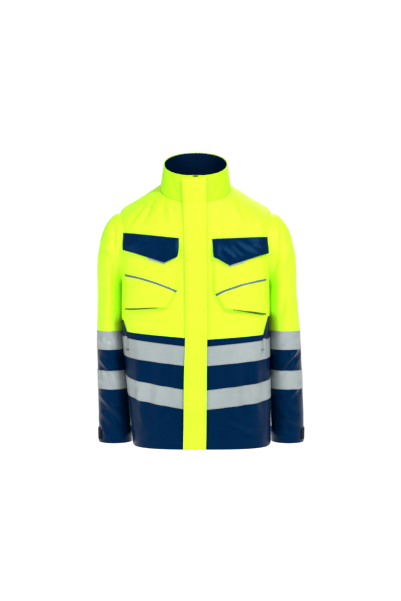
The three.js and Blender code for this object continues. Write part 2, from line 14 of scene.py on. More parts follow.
import bmesh
import bpy
import numpy as np
from mathutils import Matrix, Vector
from mathutils.bvhtree import BVHTree


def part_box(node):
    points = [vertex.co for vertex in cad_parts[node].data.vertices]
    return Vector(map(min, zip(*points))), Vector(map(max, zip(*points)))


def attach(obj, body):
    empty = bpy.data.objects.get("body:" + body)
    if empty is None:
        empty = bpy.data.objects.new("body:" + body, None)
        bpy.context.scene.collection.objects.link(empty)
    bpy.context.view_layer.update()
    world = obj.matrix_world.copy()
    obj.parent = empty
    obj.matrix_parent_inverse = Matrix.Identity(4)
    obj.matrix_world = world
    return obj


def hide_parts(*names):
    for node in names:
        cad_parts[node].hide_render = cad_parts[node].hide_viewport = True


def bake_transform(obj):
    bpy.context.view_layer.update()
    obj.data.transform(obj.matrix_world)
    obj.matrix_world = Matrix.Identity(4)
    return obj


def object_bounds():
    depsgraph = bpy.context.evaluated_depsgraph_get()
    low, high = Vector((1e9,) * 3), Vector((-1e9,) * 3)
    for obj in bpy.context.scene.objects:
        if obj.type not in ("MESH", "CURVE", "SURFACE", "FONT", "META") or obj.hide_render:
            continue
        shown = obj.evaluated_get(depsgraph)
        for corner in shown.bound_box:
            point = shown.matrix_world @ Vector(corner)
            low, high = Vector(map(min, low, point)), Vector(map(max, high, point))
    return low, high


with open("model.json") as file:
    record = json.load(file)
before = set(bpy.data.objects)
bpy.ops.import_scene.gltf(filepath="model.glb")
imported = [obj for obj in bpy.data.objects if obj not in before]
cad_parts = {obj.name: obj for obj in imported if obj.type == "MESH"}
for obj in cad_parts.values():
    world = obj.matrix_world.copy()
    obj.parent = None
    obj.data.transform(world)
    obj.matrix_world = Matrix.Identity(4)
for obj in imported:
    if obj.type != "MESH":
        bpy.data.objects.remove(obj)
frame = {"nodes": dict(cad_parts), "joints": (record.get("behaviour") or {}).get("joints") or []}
cad_box = [list(corner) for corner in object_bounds()]

# %% [markdown]
# ## The measure that the jacket is cut in
#
# A tailor measures up from the hem, so the lesson does too: millimetres, with the hem at height 0, the centre
# front at x = 0 and the front towards -y. The armhole's middle is known both ways, as a cutting measure and
# as the joint that the sleeve swings on, and the difference between the two is where the frame's origin lies.

# %% From cutting measure to frame
joints = {j["name"]: j for j in frame["joints"]}
ARMHOLE = np.array((199.0, 5.0, 527.0))
ORIGIN = ARMHOLE - 1000 * np.array(joints["left_sleeve_swing"]["pos_m"])
SIDES = (("left", 1), ("right", -1))


def to_frame(points):
    return (np.asarray(points, float) - ORIGIN) / 1000


def ease(t):
    t = np.clip(t, 0, 1)
    return t * t * (3 - 2 * t)


print("frame origin in cutting measure:", ORIGIN.round(1))

# %% [markdown]
# ## The form under the cloth
#
# A worn jacket is a tube of cloth over a body. Its shape is given by a dozen rings between hem and neck, each
# a squared-off oval with its own width, back depth, squareness and tilt. Rings in between are blended, and
# each ring is measured round its own length, so that a number q says how far round a point lies: 0 is the
# centre front, 1 the left side, 2 the centre back and 3 the right side. Cloth laid by q is not stretched.

# %% Rings of the body: height, half width, back, squareness, tilt, shift
RINGS = np.array([
    (0, 188, 120, 3.2, 0, 17), (100, 191.5, 121, 3.3, 0, 12), (200, 196, 122, 3.3, 0, 6),
    (300, 199.5, 126, 3.3, 0, 0.5), (350, 200.5, 128, 3.4, 0, 0), (432, 199, 134, 3.9, 0, 0),
    (462, 199.5, 136, 4.2, 0.02, 0), (502, 203, 137, 4.6, 0.05, 0), (557, 206.5, 134, 4.4, 0.15, 0),
    (597, 208.5, 126, 3.3, 0.25, 0), (614, 209, 119, 2.9, 0.3, 0), (628, 205, 111, 2.6, 0.34, 0),
    (640, 179, 99, 2.4, 0.38, 0), (652, 157, 85, 2.3, 0.42, 0), (670, 126, 71, 2.2, 0.47, 0),
    (688, 95, 59, 2.15, 0.52, 0),
])
NECK = 688.0
FRONT_AT_HEM, LEAN = -150.0, 0.0608
ROW, COLUMNS = 2.0, 100  # millimetres between rows, and columns in a quarter of the way round


def blurred(values, width):
    """Smooths a column of numbers along its length without moving its ends."""
    reach = int(3 * width)
    kernel = np.exp(-0.5 * (np.arange(-reach, reach + 1) / width) ** 2)
    before = 2 * values[0] - values[reach:0:-1]
    after = 2 * values[-1] - values[-2:-reach - 2:-1]
    return np.convolve(np.concatenate((before, values, after)), kernel / kernel.sum(), "valid")


def signed_power(value, power):
    return np.sign(value) * np.abs(value) ** power


def ring_points(height, half, back, square, tilt, shift):
    front = FRONT_AT_HEM + LEAN * height
    for _ in range(4):
        front = FRONT_AT_HEM + LEAN * (height - tilt * (back - front) / 2)
    middle, depth = (front + back) / 2, (back - front) / 2
    start = math.asin(signed_power(-shift / half, square / 2))
    quarters = ((start, math.pi / 2, 1), (math.pi / 2, 1.5 * math.pi, 2),
        (1.5 * math.pi, 2 * math.pi + start, 1))
    out = []
    for first, last, share in quarters:
        angle = np.linspace(first, last, 240)
        x = shift + half * signed_power(np.sin(angle), 2 / square)
        y = middle - depth * signed_power(np.cos(angle), 2 / square)
        points = np.stack((x, y, height + tilt * (y - middle)), 1)
        run = np.concatenate(((0,), np.cumsum(np.linalg.norm(np.diff(points, axis=0), axis=1))))
        wanted = np.linspace(0, run[-1], share * COLUMNS + 1)[(1 if out else 0):]
        out.append(np.stack([np.interp(wanted, run, points[:, k]) for k in range(3)], 1))
    return np.concatenate(out)


heights = np.arange(0, NECK + 1, ROW)
profile = [blurred(np.interp(heights, RINGS[:, 0], RINGS[:, k]), 2.6) for k in range(1, 6)]
body_form = np.array([ring_points(h, *values) for h, *values in zip(heights, *profile)])
print("body form:", body_form.shape)

# %% [markdown]
# ## Folds
#
# Cloth that hangs from shoulders and is caught by seams makes long soft folds. Each is a ridge or a groove
# along a line, tapering at both ends, with a shallow opposite swell beside it, as real cloth has. The larger
# ones are placed one by one, and a few dozen faint ones are strewn from a fixed seed so that no part is dead
# flat.

# %% A fold along a line, as a height over the surface
def fold(x, z, line, width, height):
    (x0, z0), (x1, z1) = line
    length = math.hypot(x1 - x0, z1 - z0)
    along = ((x - x0) * (x1 - x0) + (z - z0) * (z1 - z0)) / length**2
    across = ((x - x0) * (z1 - z0) - (z - z0) * (x1 - x0)) / length / width
    taper = ease(along / 0.3) * ease((1 - along) / 0.3)
    return height * taper * (np.exp(-across**2) - 0.35 * np.exp(-((np.abs(across) - 1.9) ** 2)))


def strewn(x, z, seed, count, upright, size):
    """Faint folds at random, mostly upright where upright is near 1."""
    dice = np.random.RandomState(seed)
    total = np.zeros_like(x)
    for _ in range(count):
        cx, cz = dice.uniform(x.min(), x.max()), dice.uniform(z.min(), z.max())
        angle = math.pi / 2 + dice.normal(0, 1.2 * (1 - upright) + 0.12)
        half = dice.uniform(25, 70)
        dx, dz = half * math.cos(angle), half * math.sin(angle)
        total += fold(x, z, ((cx - dx, cz - dz), (cx + dx, cz + dz)), dice.uniform(7, 16),
            dice.uniform(-1, 1) * size)
    return total


def normals_of(form):
    along, up = np.gradient(form, axis=1), np.gradient(form, axis=0)
    normal = np.cross(along, up)
    return normal / np.maximum(np.linalg.norm(normal, axis=2, keepdims=True), 1e-9)


# %% Folds of the body
FRONT_FOLDS = [
    # drag lines from the right shoulder down to the chest
    (((-124, 656), (-190, 562)), 5, -4.0), (((-114, 658), (-170, 574)), 8, 3.0),
    (((-104, 672), (-144, 582)), 4.5, -4.8),
    (((-94, 664), (-118, 590)), 8, 2.8), (((-86, 662), (-78, 582)), 6, -3.0),
    (((-66, 658), (-54, 612)), 5, -3.2),
    (((-150, 632), (-196, 590)), 6, 2.0), (((-76, 640), (-64, 590)), 7, 1.8),
    # softer ones on the left
    (((110, 664), (118, 614)), 4.5, -3.2), (((122, 634), (148, 550)), 6, -3.2),
    (((102, 650), (122, 566)), 8, 2.4),
    (((180, 600), (192, 536)), 6, -2.6), (((62, 650), (84, 576)), 9, 2.2), (((164, 610), (178, 556)), 7, 2.2),
    (((60, 664), (70, 612)), 5, -2.4), (((146, 620), (164, 566)), 6, -2.0),
    # beside the storm flap
    (((-44, 620), (-40, 470)), 6, -2.6), (((44, 570), (42, 380)), 7, -2.2),
    (((-42, 420), (-40, 300)), 6, -2.2),
    # upright folds of the skirt
    (((-56, 300), (-76, 90)), 9, -3.6), (((-80, 310), (-100, 60)), 11, 3.4),
    (((-116, 290), (-126, 60)), 10, -3.0),
    (((-150, 300), (-152, 60)), 10, 2.4), (((-166, 200), (-150, 30)), 8, -2.6),
    (((-40, 200), (-52, 20)), 9, 2.0),
    (((74, 300), (82, 90)), 9, -3.4), (((100, 300), (106, 60)), 10, 3.2), (((136, 290), (126, 70)), 9, -3.6),
    (((160, 280), (156, 60)), 10, 2.6), (((178, 220), (184, 40)), 9, -2.6), (((48, 240), (56, 30)), 9, 2.2),
    (((-76, 104), (-142, 20)), 6, 3.0), (((-60, 92), (-120, 14)), 6, -2.4), (((80, 84), (160, 44)), 6, 2.8),
    (((96, 66), (150, 30)), 6, -2.2), (((-170, 160), (-120, 104)), 7, 2.2),
    (((110, 150), (176, 104)), 7, 2.2),
    # below the pockets
    (((-176, 342), (-60, 316)), 8, -2.6), (((60, 320), (176, 340)), 8, -2.6),
    (((-150, 320), (-70, 300)), 8, 1.8),
    (((70, 302), (150, 322)), 8, 1.8),
]
BACK_FOLDS = [
    (((-150, 560), (-70, 420)), 14, 2.4), (((150, 560), (70, 420)), 14, 2.4),
    (((-165, 470), (-60, 360)), 12, -2.2),
    (((165, 470), (60, 360)), 12, -2.2), (((-60, 640), (60, 636)), 10, 1.6),
    (((-20, 560), (-30, 380)), 14, -1.8),
    (((-95, 310), (-105, 30)), 15, 2.8), (((-48, 300), (-40, 20)), 14, -2.6),
    (((10, 310), (14, 30)), 15, 2.6),
    (((64, 300), (58, 20)), 14, -2.8), (((110, 310), (120, 30)), 15, 2.6),
    (((150, 290), (160, 30)), 12, -2.2),
]
body_normal = normals_of(body_form)
x, z = body_form[..., 0], body_form[..., 2]
facing_front = ease(-body_normal[..., 1] * 2)
facing_back = ease(body_normal[..., 1] * 2)
raised = sum(fold(x, z, *f) for f in FRONT_FOLDS) * facing_front
raised += sum(fold(x, z, *f) for f in BACK_FOLDS) * facing_back
raised += strewn(x, z, 5, 90, 0.65, 1.1) * facing_front + strewn(x, z, 9, 70, 0.7, 0.9) * facing_back
# The cloth is held flat beside the zip, at the neck seam and a little at the hem.
held = ease((np.abs(x) - 10) / 30) * facing_front + 1 - facing_front
held *= ease((NECK - heights[:, None]) / 25) * (0.5 + 0.5 * ease(heights[:, None] / 40))
# At the armhole the cloth keeps to the round seam that the sleeve turns in.
reach = np.hypot(body_form[..., 1] - ARMHOLE[1], z - ARMHOLE[2])
near_armhole = (np.abs(x) > 120) * (1 - ease((reach - 96) / 22))
raised *= held * (1 - near_armhole)
body_form = body_form + body_normal * raised[..., None]
body_normal = normals_of(body_form)
print("folds reach from %.1f to %.1f mm" % (raised.min(), raised.max()))

# %% [markdown]
# ## Reading a point of the form
#
# Panels, bands and seams all lie on the same form, so they ask it for points: how far round, how high, and how
# far out from the surface. The table is read between its entries, which keeps every layer smooth.

# %% A point on a form, and on the front in front view
def read_form(form, normal, row, column, out=0.0):
    row = np.clip(row, 0, form.shape[0] - 1.001)
    column = np.clip(column, 0, form.shape[1] - 1.001)
    i, j = row.astype(int), column.astype(int)
    u, v = (row - i)[..., None], (column - j)[..., None]
    mix = lambda t: (t[i, j] * (1 - u) + t[i + 1, j] * u) * (1 - v) + (t[i, j + 1] * (1 - u) + t[i + 1,
        j + 1] * u) * v
    return mix(form) + mix(normal) * np.asarray(out)[..., None]


def body_at(q, h, out=0.0):
    return read_form(body_form, body_normal, np.asarray(h, float) / ROW, np.asarray(q, float) * COLUMNS, out)


FRONT_X, FRONT_Z = np.arange(-200, 200.1, 2.5), np.arange(0, 700.1, 2.5)
front_mesh = bmesh.new()
bmesh.ops.create_grid(front_mesh, x_segments=400, y_segments=344, size=0.5)
for vert in front_mesh.verts:
    column, row = round((vert.co.x + 0.5) * 400), round((vert.co.y + 0.5) * 344)
    vert.co = body_form[row, column]
tree = BVHTree.FromBMesh(front_mesh)
front_mesh.free()
depth_map = np.full((len(FRONT_Z), len(FRONT_X)), np.nan)
for i, zz in enumerate(FRONT_Z):
    for j, xx in enumerate(FRONT_X):
        hit = tree.ray_cast(Vector((xx, -400, zz)), Vector((0, 1, 0)))[0]
        if hit is not None and hit.y < 0:
            depth_map[i, j] = hit.y
for row in depth_map:  # past the edge of the front the surface runs on steeply
    known = np.flatnonzero(~np.isnan(row))
    if len(known):
        row[:known[0]] = row[known[0]] + 3.0 * np.arange(known[0], 0, -1)
        row[known[-1] + 1:] = row[known[-1]] + 3.0 * np.arange(1, len(row) - known[-1])
for i in range(1, len(depth_map)):
    if np.isnan(depth_map[i]).any():
        depth_map[i] = depth_map[i - 1]
front_form = np.stack((*np.meshgrid(FRONT_X, FRONT_Z), depth_map), 2)[..., [0, 2, 1]]
front_normal = normals_of(front_form)


def front_at(x, z, out=0.0):
    return read_form(front_form, front_normal, np.asarray(z, float) / 2.5,
        (np.asarray(x, float) + 200) / 2.5, out)


print("front map:", depth_map.shape, "centre front at chest height:", front_at(0, 450.0).round(1))

# %% [markdown]
# ## Laying cloth
#
# A panel starts as a plain grid. Its two directions become the cloth's width and height, and each corner is
# moved to its place on the form. Solidify then gives it a thickness, inwards, and the sharp rim keeps its
# edge. The cloth's own measure is kept in a UV map, in metres, so that the weave follows the cloth.

# %% Grid to cloth
def new_object(name, mesh, material):
    obj = bpy.data.objects.new(name, mesh)
    bpy.context.scene.collection.objects.link(obj)
    obj.data.materials.append(material)
    return obj


def bake(obj, sharp=40):
    graph = bpy.context.evaluated_depsgraph_get()
    mesh = bpy.data.meshes.new_from_object(obj.evaluated_get(graph))
    obj.modifiers.clear()
    obj.data = mesh
    mesh.shade_smooth()
    mesh.set_sharp_from_angle(angle=math.radians(sharp))
    return obj


def solidify(obj, thickness):
    mod = obj.modifiers.new("thickness", "SOLIDIFY")
    mod.thickness, mod.offset, mod.use_even_offset = thickness / 1000, -1, False


def steps(*stops, pitch):
    """Places from the first stop to the last, evenly within each stretch, with every stop included."""
    out = [stops[0]]
    for a, b in zip(stops, stops[1:]):
        out += list(np.linspace(a, b, max(1, round(abs(b - a) / pitch)) + 1)[1:])
    return np.array(out)


CUT = {}  # the flat width and length of each piece of cloth, in metres, measured along its middle


def lay(name, us, vs, place, material, thickness=1.2, measure=(1.0, 1.0), close=False):
    """A sheet whose corners are placed by place(u, v), which gives cutting measure in millimetres."""
    bm = bmesh.new()
    nu, nv = len(us) - 1, len(vs) - 1
    bmesh.ops.create_grid(bm, x_segments=nu, y_segments=nv, size=0.5)
    bm.verts.ensure_lookup_table()
    grid = np.array([(v.co.x, v.co.y) for v in bm.verts]) + 0.5
    across = [np.linalg.norm(np.diff(place(us, np.full(len(us), vs[k])), axis=0), axis=1).sum() for k in (0,
        nv // 2, nv)]
    along = [np.linalg.norm(np.diff(place(np.full(len(vs), us[k]), vs), axis=0), axis=1).sum() for k in (0,
        nu // 4, nu // 2, 3 * nu // 4, nu)]
    CUT[name] = (max(across) / 1000, max(along) / 1000)
    u, v = us[np.rint(grid[:, 0] * nu).astype(int)], vs[np.rint(grid[:, 1] * nv).astype(int)]
    for vert, co in zip(bm.verts, to_frame(place(u, v))):
        vert.co = co
    uv = bm.loops.layers.uv.new("cloth")
    for face in bm.faces:
        for loop in face.loops:
            k = loop.vert.index
            loop[uv].uv = (u[k] * measure[0] / 1000, v[k] * measure[1] / 1000)
    if close:
        bmesh.ops.remove_doubles(bm, verts=bm.verts, dist=1e-5)
    mesh = bpy.data.meshes.new(name)
    bm.to_mesh(mesh)
    bm.free()
    obj = new_object(name, mesh, material)
    if thickness:
        solidify(obj, thickness)
        bake(obj)
    else:
        mesh.shade_smooth()
    return obj


def settle(obj, body, slot, *nodes):
    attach(obj, body)
    if nodes:
        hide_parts(*nodes)
    return obj


# %% [markdown]
# ## Finishes
#
# Three effects are shared by several materials, so each is a node group: a twill weave that follows the
# cloth's own UV measure, the glass beads of reflective tape, and the slow mottling that handled cloth has.
# Each puts out a height for bump and a shade that changes the colour a little.

# %% Group: twill weave
def new_group(name, inputs, outputs):
    group = bpy.data.node_groups.new(name, "ShaderNodeTree")
    for label, kind, value in inputs:
        socket = group.interface.new_socket(label, in_out="INPUT", socket_type=kind)
        if value is not None:
            socket.default_value = value
    for label, kind in outputs:
        group.interface.new_socket(label, in_out="OUTPUT", socket_type=kind)
    return group, group.nodes.new("NodeGroupInput"), group.nodes.new("NodeGroupOutput")


def node(tree, kind, inputs=(), **settings):
    made = tree.nodes.new("ShaderNode" + kind)
    for key, value in settings.items():
        setattr(made, key, value)
    for key, value in dict(inputs).items():
        if isinstance(value, bpy.types.NodeSocket):
            tree.links.new(value, made.inputs[key])
        else:
            made.inputs[key].default_value = value
    return made


def maths(tree, operation, *values):
    made = node(tree, "Math", operation=operation)
    for k, value in enumerate(values):
        if isinstance(value, bpy.types.NodeSocket):
            tree.links.new(value, made.inputs[k])
        else:
            made.inputs[k].default_value = value
    return made.outputs[0]


weave, start, end = new_group(
    "twill_weave",
    [("Vector", "NodeSocketVector", None), ("Threads per mm", "NodeSocketFloat", 1.6),
        ("Unevenness", "NodeSocketFloat", 0.3)],
    [("Height", "NodeSocketFloat"), ("Shade", "NodeSocketFloat")],
)
scale = maths(weave, "MULTIPLY", start.outputs["Threads per mm"], 1000)
parts = node(weave, "SeparateXYZ", {0: start.outputs["Vector"]})
along = maths(weave, "MULTIPLY", parts.outputs["X"], scale)
up = maths(weave, "MULTIPLY", parts.outputs["Y"], scale)
warp = maths(weave, "SINE", maths(weave, "MULTIPLY", along, 2 * math.pi))
twill = maths(weave, "SINE", maths(weave, "MULTIPLY",
    maths(weave, "ADD", along, maths(weave, "MULTIPLY", up, 0.5)), math.pi))
speck = node(weave, "TexNoise", {"Vector": start.outputs["Vector"], "Scale": 900.0, "Detail": 2.0})
height = maths(weave, "ADD", maths(weave, "MULTIPLY", warp, 0.35), maths(weave, "MULTIPLY", twill, 0.65))
rough_height = maths(weave, "MULTIPLY", speck.outputs["Fac"], start.outputs["Unevenness"])
weave.links.new(maths(weave, "ADD", height, rough_height), end.inputs["Height"])
shade = maths(weave, "MULTIPLY_ADD", height, 0.5, 0.5)
weave.links.new(shade, end.inputs["Shade"])

# %% Group: glass beads
beads, start, end = new_group(
    "glass_beads",
    [("Vector", "NodeSocketVector", None), ("Beads per mm", "NodeSocketFloat", 2.2)],
    [("Height", "NodeSocketFloat"), ("Shade", "NodeSocketFloat")],
)
bead = node(beads, "TexVoronoi", {"Vector": start.outputs["Vector"],
    "Scale": maths(beads, "MULTIPLY", start.outputs["Beads per mm"], 1000)})
weft = node(beads, "TexNoise", {"Vector": start.outputs["Vector"], "Scale": 160.0, "Detail": 3.0})
beads.links.new(maths(beads, "SUBTRACT", 1.0, bead.outputs["Distance"]), end.inputs["Height"])
beads.links.new(maths(beads, "MULTIPLY_ADD", weft.outputs["Fac"], 0.5,
    maths(beads, "MULTIPLY", bead.outputs["Distance"], 0.5)), end.inputs["Shade"])

# %% Group: mottling
mottle, start, end = new_group(
    "handled_cloth",
    [("Vector", "NodeSocketVector", None), ("Size", "NodeSocketFloat", 12.0)],
    [("Mask", "NodeSocketFloat")],
)
cloud = node(mottle, "TexNoise", {"Vector": start.outputs["Vector"], "Scale": start.outputs["Size"],
    "Detail": 4.0, "Roughness": 0.55})
mask = node(mottle, "MapRange", {"Value": cloud.outputs["Fac"], "From Min": 0.3, "From Max": 0.7})
mottle.links.new(mask.outputs["Result"], end.inputs["Mask"])
print("groups:", [g.name for g in bpy.data.node_groups])

# %% [markdown]
# Each finish puts the groups together in its own material: the two colours between which the weave and the
# mottling move, how rough the cloth is, and how deep its weave. The yellows also have a painted glow, a small
# emission that stands in for the fluorescent dye's extra brightness and shows whether light falls on them or
# not. Coated navy has a thin glossy film over its weave.

# %% The finishes
def finish(name, light, dark, roughness, bump, pattern="twill_weave", density=1.6, gloss=0.2, sheen=0.0,
    coat=0.0, painted_glow=0.0, metal=0.0, mottling=0.5, rough_spread=0.08, tint=(1, 1, 1)):
    material = bpy.data.materials.new(name)
    material.use_nodes = True
    tree = material.node_tree
    shader = tree.nodes["Principled BSDF"]
    coords = node(tree, "TexCoord")
    effect = tree.nodes.new("ShaderNodeGroup")
    effect.node_tree = bpy.data.node_groups[pattern]
    tree.links.new(coords.outputs["UV"], effect.inputs["Vector"])
    effect.inputs[1].default_value = density
    clouds = tree.nodes.new("ShaderNodeGroup")
    clouds.node_tree = bpy.data.node_groups["handled_cloth"]
    tree.links.new(coords.outputs["Object"], clouds.inputs["Vector"])
    share = maths(tree, "ADD", maths(tree, "MULTIPLY", effect.outputs["Shade"], 1 - mottling),
        maths(tree, "MULTIPLY", clouds.outputs["Mask"], mottling))
    colour = node(tree, "Mix", {"Factor": share}, data_type="RGBA")
    colour.inputs["A"].default_value, colour.inputs["B"].default_value = (*dark, 1), (*light, 1)
    tree.links.new(colour.outputs["Result"], shader.inputs["Base Color"])
    rough = maths(tree, "MULTIPLY_ADD", clouds.outputs["Mask"], rough_spread, roughness - rough_spread / 2)
    tree.links.new(rough, shader.inputs["Roughness"])
    relief = node(tree, "Bump", {"Height": effect.outputs["Height"], "Strength": bump, "Distance": 0.0002})
    tree.links.new(relief.outputs["Normal"], shader.inputs["Normal"])
    shader.inputs["Metallic"].default_value = metal
    shader.inputs["Specular IOR Level"].default_value = gloss
    shader.inputs["Specular Tint"].default_value = (*tint, 1)
    shader.inputs["Sheen Weight"].default_value = sheen
    shader.inputs["Sheen Roughness"].default_value = 0.4
    shader.inputs["Coat Weight"].default_value = coat
    shader.inputs["Coat Roughness"].default_value = 0.28
    # painted glow: emission in the cloth's own colour, shown whether or not light falls on it
    if painted_glow:
        tree.links.new(colour.outputs["Result"], shader.inputs["Emission Color"])
        shader.inputs["Emission Strength"].default_value = painted_glow
    return material


# the yellows carry a small painted glow for the fluorescent dye
yellow = finish("fluorescent_yellow", (0.56, 0.97, 0.020), (0.50, 0.92, 0.008), 0.6, 0.35, gloss=0.28,
    painted_glow=0.05)
# painted shade: the collar's yellow is a darker copy of the same cloth, for collar sides that lie in shade
collar_yellow_painted_shade = finish("fluorescent_yellow_painted_shade_collar", (0.46, 0.90, 0.006), (0.41, 0.85, 0.003), 0.6, 0.35,
    gloss=0.2, painted_glow=0.03)
navy = finish("coated_navy", (0.0003, 0.0130, 0.048), (0.0002, 0.0100, 0.039), 0.30, 0.22, gloss=0.22,
    density=1.8, tint=(0.02, 0.22, 0.50))
lining = finish("glossy_lining", (0.0005, 0.009, 0.034), (0.0003, 0.006, 0.024), 0.22, 0.12, gloss=0.2,
    density=3.0, tint=(0.10, 0.22, 0.45))
silver = finish("reflective_tape", (0.32, 0.36, 0.365), (0.26, 0.30, 0.305), 0.42, 0.3,
    pattern="glass_beads", gloss=0.3, density=2.2, metal=0.12, mottling=0.65)
grey = finish("grey_piping", (0.13, 0.155, 0.18), (0.09, 0.11, 0.13), 0.4, 0.3, pattern="glass_beads",
    gloss=0.3, density=3.0, metal=0.12)
# painted shade: a dark olive for the strip that stands for the shadow under each pocket's bellows fold
painted_fold_shade = finish("bellows_painted_shade", (0.10, 0.13, 0.004), (0.05, 0.075, 0.002), 0.7, 0.3, gloss=0.1)
black = finish("hook_and_loop", (0.006, 0.006, 0.008), (0.002, 0.002, 0.0025), 0.9, 0.9,
    pattern="glass_beads", gloss=0.1, density=1.2, sheen=0.06)
plastic = finish("moulded_black", (0.008, 0.01, 0.016), (0.005, 0.006, 0.010), 0.38, 0.05, gloss=0.35,
    density=0.5)
enamel = finish("enamelled_metal", (0.030, 0.033, 0.040), (0.018, 0.020, 0.026), 0.28, 0.02, gloss=0.5,
    density=0.5, metal=0.6)
thread_yellow = finish("yellow_thread", (0.50, 0.86, 0.006), (0.38, 0.74, 0.003), 0.6, 0.2, density=6.0,
    painted_glow=0.04)
thread_navy = finish("navy_thread", (0.0012, 0.016, 0.050), (0.0006, 0.011, 0.036), 0.5, 0.2, gloss=0.15,
    density=6.0)
thread_grey = finish("grey_thread", (0.22, 0.25, 0.255), (0.17, 0.195, 0.20), 0.55, 0.2, density=6.0)
thread_dark = finish("dark_thread", (0.004, 0.010, 0.022), (0.002, 0.006, 0.014), 0.5, 0.2, gloss=0.15,
    density=6.0)
print("finishes:", len(bpy.data.materials))

# %% [markdown]
# ## Stitches
#
# Every seam on such a jacket is topstitched, mostly 3 mm stitches a few millimetres from the edge. Each stitch
# is a tiny stretched ball laid along its run, half sunk in the cloth. All the stitches of one thread on one
# body make one object, which is built at the end once every run is known.

# %% Collect runs of stitches
runs = {}
STITCH, GAP, THREAD = 2.9, 0.9, 0.32


def stitch(points, body, thread):
    """Points of the run in millimetres, on the surface of the cloth."""
    points = np.asarray(points, float)
    run = np.concatenate(((0,), np.cumsum(np.linalg.norm(np.diff(points, axis=0), axis=1))))
    starts = np.arange(0, run[-1] - STITCH, STITCH + GAP)
    at = lambda s: np.stack([np.interp(s, run, points[:, k]) for k in range(3)], 1)
    runs.setdefault((body, thread), []).append((at(starts), at(starts + STITCH)))


def zip_q(side, h, mm):
    """q of the place a distance from the zip's middle."""
    h = np.asarray(h, float)
    row = np.clip(h / ROW, 0, len(heights) - 1).astype(int)
    length = front_length[side][row]
    return mm / length if side > 0 else 4 - mm / length


front_length = {
    side: np.linalg.norm(np.diff(body_form[:, a:b + 1], axis=1), axis=2).sum(1)
    for side, a, b in ((1, 0, COLUMNS), (-1, 3 * COLUMNS, 4 * COLUMNS))
}
print("front from zip to side at the hem: %.0f and %.0f mm" % (front_length[1][0], front_length[-1][0]))

# %% [markdown]
# ## Body panels
#
# The yellow yoke laps over the navy skirt, and a navy side panel rises in a wedge to the armpit. Where one
# panel goes under another its edge is tucked a millimetre in, so that the seam shows as a real step. The
# armholes are cut with a cylinder that is a hair wider than the sleeve's head, which turns inside it.

# %% Seam lines of the body
YOKE_CENTRE, YOKE_BACK, ARMPIT = 282.0, 330.0, 432.0
CORNER_Q, BACK_Q = 0.8, 1.2


def q_where(name, x, h):
    """The q, counted from the zip, at which that side of the front is x out from the middle."""
    probe = np.linspace(0.5, 0.97, 95)
    around = probe if name == "left" else 4 - probe
    return float(np.interp(x, np.maximum.accumulate(np.abs(body_at(around, np.full_like(probe, h))[:, 0])),
        probe))


# the wedge's front edge leans outwards: x and height of its foot, then x and height where it goes out of sight
WEDGE = {"left": (184.0, 297.0, 200.0, 350.0), "right": (187.0, 305.0, 199.0, 340.0)}
CENTRES = {"left": YOKE_CENTRE + 1.5, "right": YOKE_CENTRE + 5.5}
WEDGE_QS, WEDGE_HS = {}, {}
for name, (foot_x, foot_z, tip_x, tip_z) in WEDGE.items():
    WEDGE_HS[name] = np.linspace(foot_z, tip_z, 8)
    places = [q_where(name, x, h) for x, h in zip(np.linspace(foot_x, tip_x, 8), WEDGE_HS[name])]
    WEDGE_QS[name] = np.maximum.accumulate(places) + 0.002 * np.arange(8)
foot_q = {name: float(WEDGE_QS[name][0]) for name in WEDGE}
print("wedge edges run over q", {name: (round(float(qs[0]), 3), round(float(qs[-1]), 3)) for name,
    qs in WEDGE_QS.items()})


def yoke_line(q):
    q = np.asarray(q, float)
    lines = []
    for name, own_q in (("left", q), ("right", 4 - q)):
        stops = (0, *WEDGE_QS[name], 1, BACK_Q, 2)
        lines.append(np.interp(own_q, stops, (CENTRES[name], *WEDGE_HS[name], ARMPIT - 6, YOKE_BACK,
            YOKE_BACK)))
    return np.where(q > 2, lines[1], lines[0])


def cut_armholes(obj, radius):
    for side in (-1, 1):
        bm = bmesh.new()
        bmesh.ops.create_cone(bm, cap_ends=True, segments=128, radius1=radius / 1000, radius2=radius / 1000,
            depth=0.14)
        bmesh.ops.rotate(bm, verts=bm.verts, matrix=Matrix.Rotation(math.pi / 2, 3, "Y"))
        bmesh.ops.translate(bm, verts=bm.verts, vec=to_frame((side * (140 + 70), ARMHOLE[1], ARMHOLE[2])))
        mesh = bpy.data.meshes.new("cutter")
        bm.to_mesh(mesh)
        bm.free()
        cutter = bpy.data.objects.new("cutter", mesh)
        bpy.context.scene.collection.objects.link(cutter)
        mod = obj.modifiers.new("armhole", "BOOLEAN")
        mod.operation, mod.object, mod.solver = "DIFFERENCE", cutter, "EXACT"
        bake(obj)
        bpy.data.objects.remove(cutter)
    return obj


def panel(name, q_stops, low, high, material, out=0.0, thickness=1.2, tuck_top=0.0, tuck_bottom=0.0,
    first_edge=None, last_edge=None, rows=None):
    """A body panel between two q edges. An edge may follow the zip, and a tucked edge goes in by that much."""
    us = steps(*q_stops, pitch=0.022)
    vs = np.linspace(0, 1, rows or 60)

    def place(u, v):
        h = low(u) + (high(u) - low(u)) * v
        q = u.copy()
        share = (u - us[0]) / (us[-1] - us[0])
        if first_edge:
            q = q + (first_edge(h) - us[0]) * (1 - share)
        if last_edge:
            q = q + (last_edge(h) - us[-1]) * share
        inset = tuck_top * ease((h - high(u) + 8) / 8) + tuck_bottom * ease((low(u) + 8 - h) / 8)
        return body_at(q, h, out - inset)

    measured = float(np.mean(high(us) - low(us)))
    return lay(name, us, vs, place, material, thickness, measure=(240.0, measured))


def level(h):
    return lambda q: np.full_like(np.asarray(q, float), h)


def hem(q):
    """The hem rises in a round corner towards each side seam."""
    q = np.asarray(q, float)
    off_side = np.minimum(np.abs(q - 1), np.abs(q - 3))
    return 26.0 * np.clip(1 - off_side / 0.32, 0, 1) ** 1.7


# %% Yokes, skirts and side panels
def ordered(side, *qs):
    """q stops given for the left side, turned round for the right."""
    return qs if side > 0 else tuple(4 - q for q in reversed(qs))


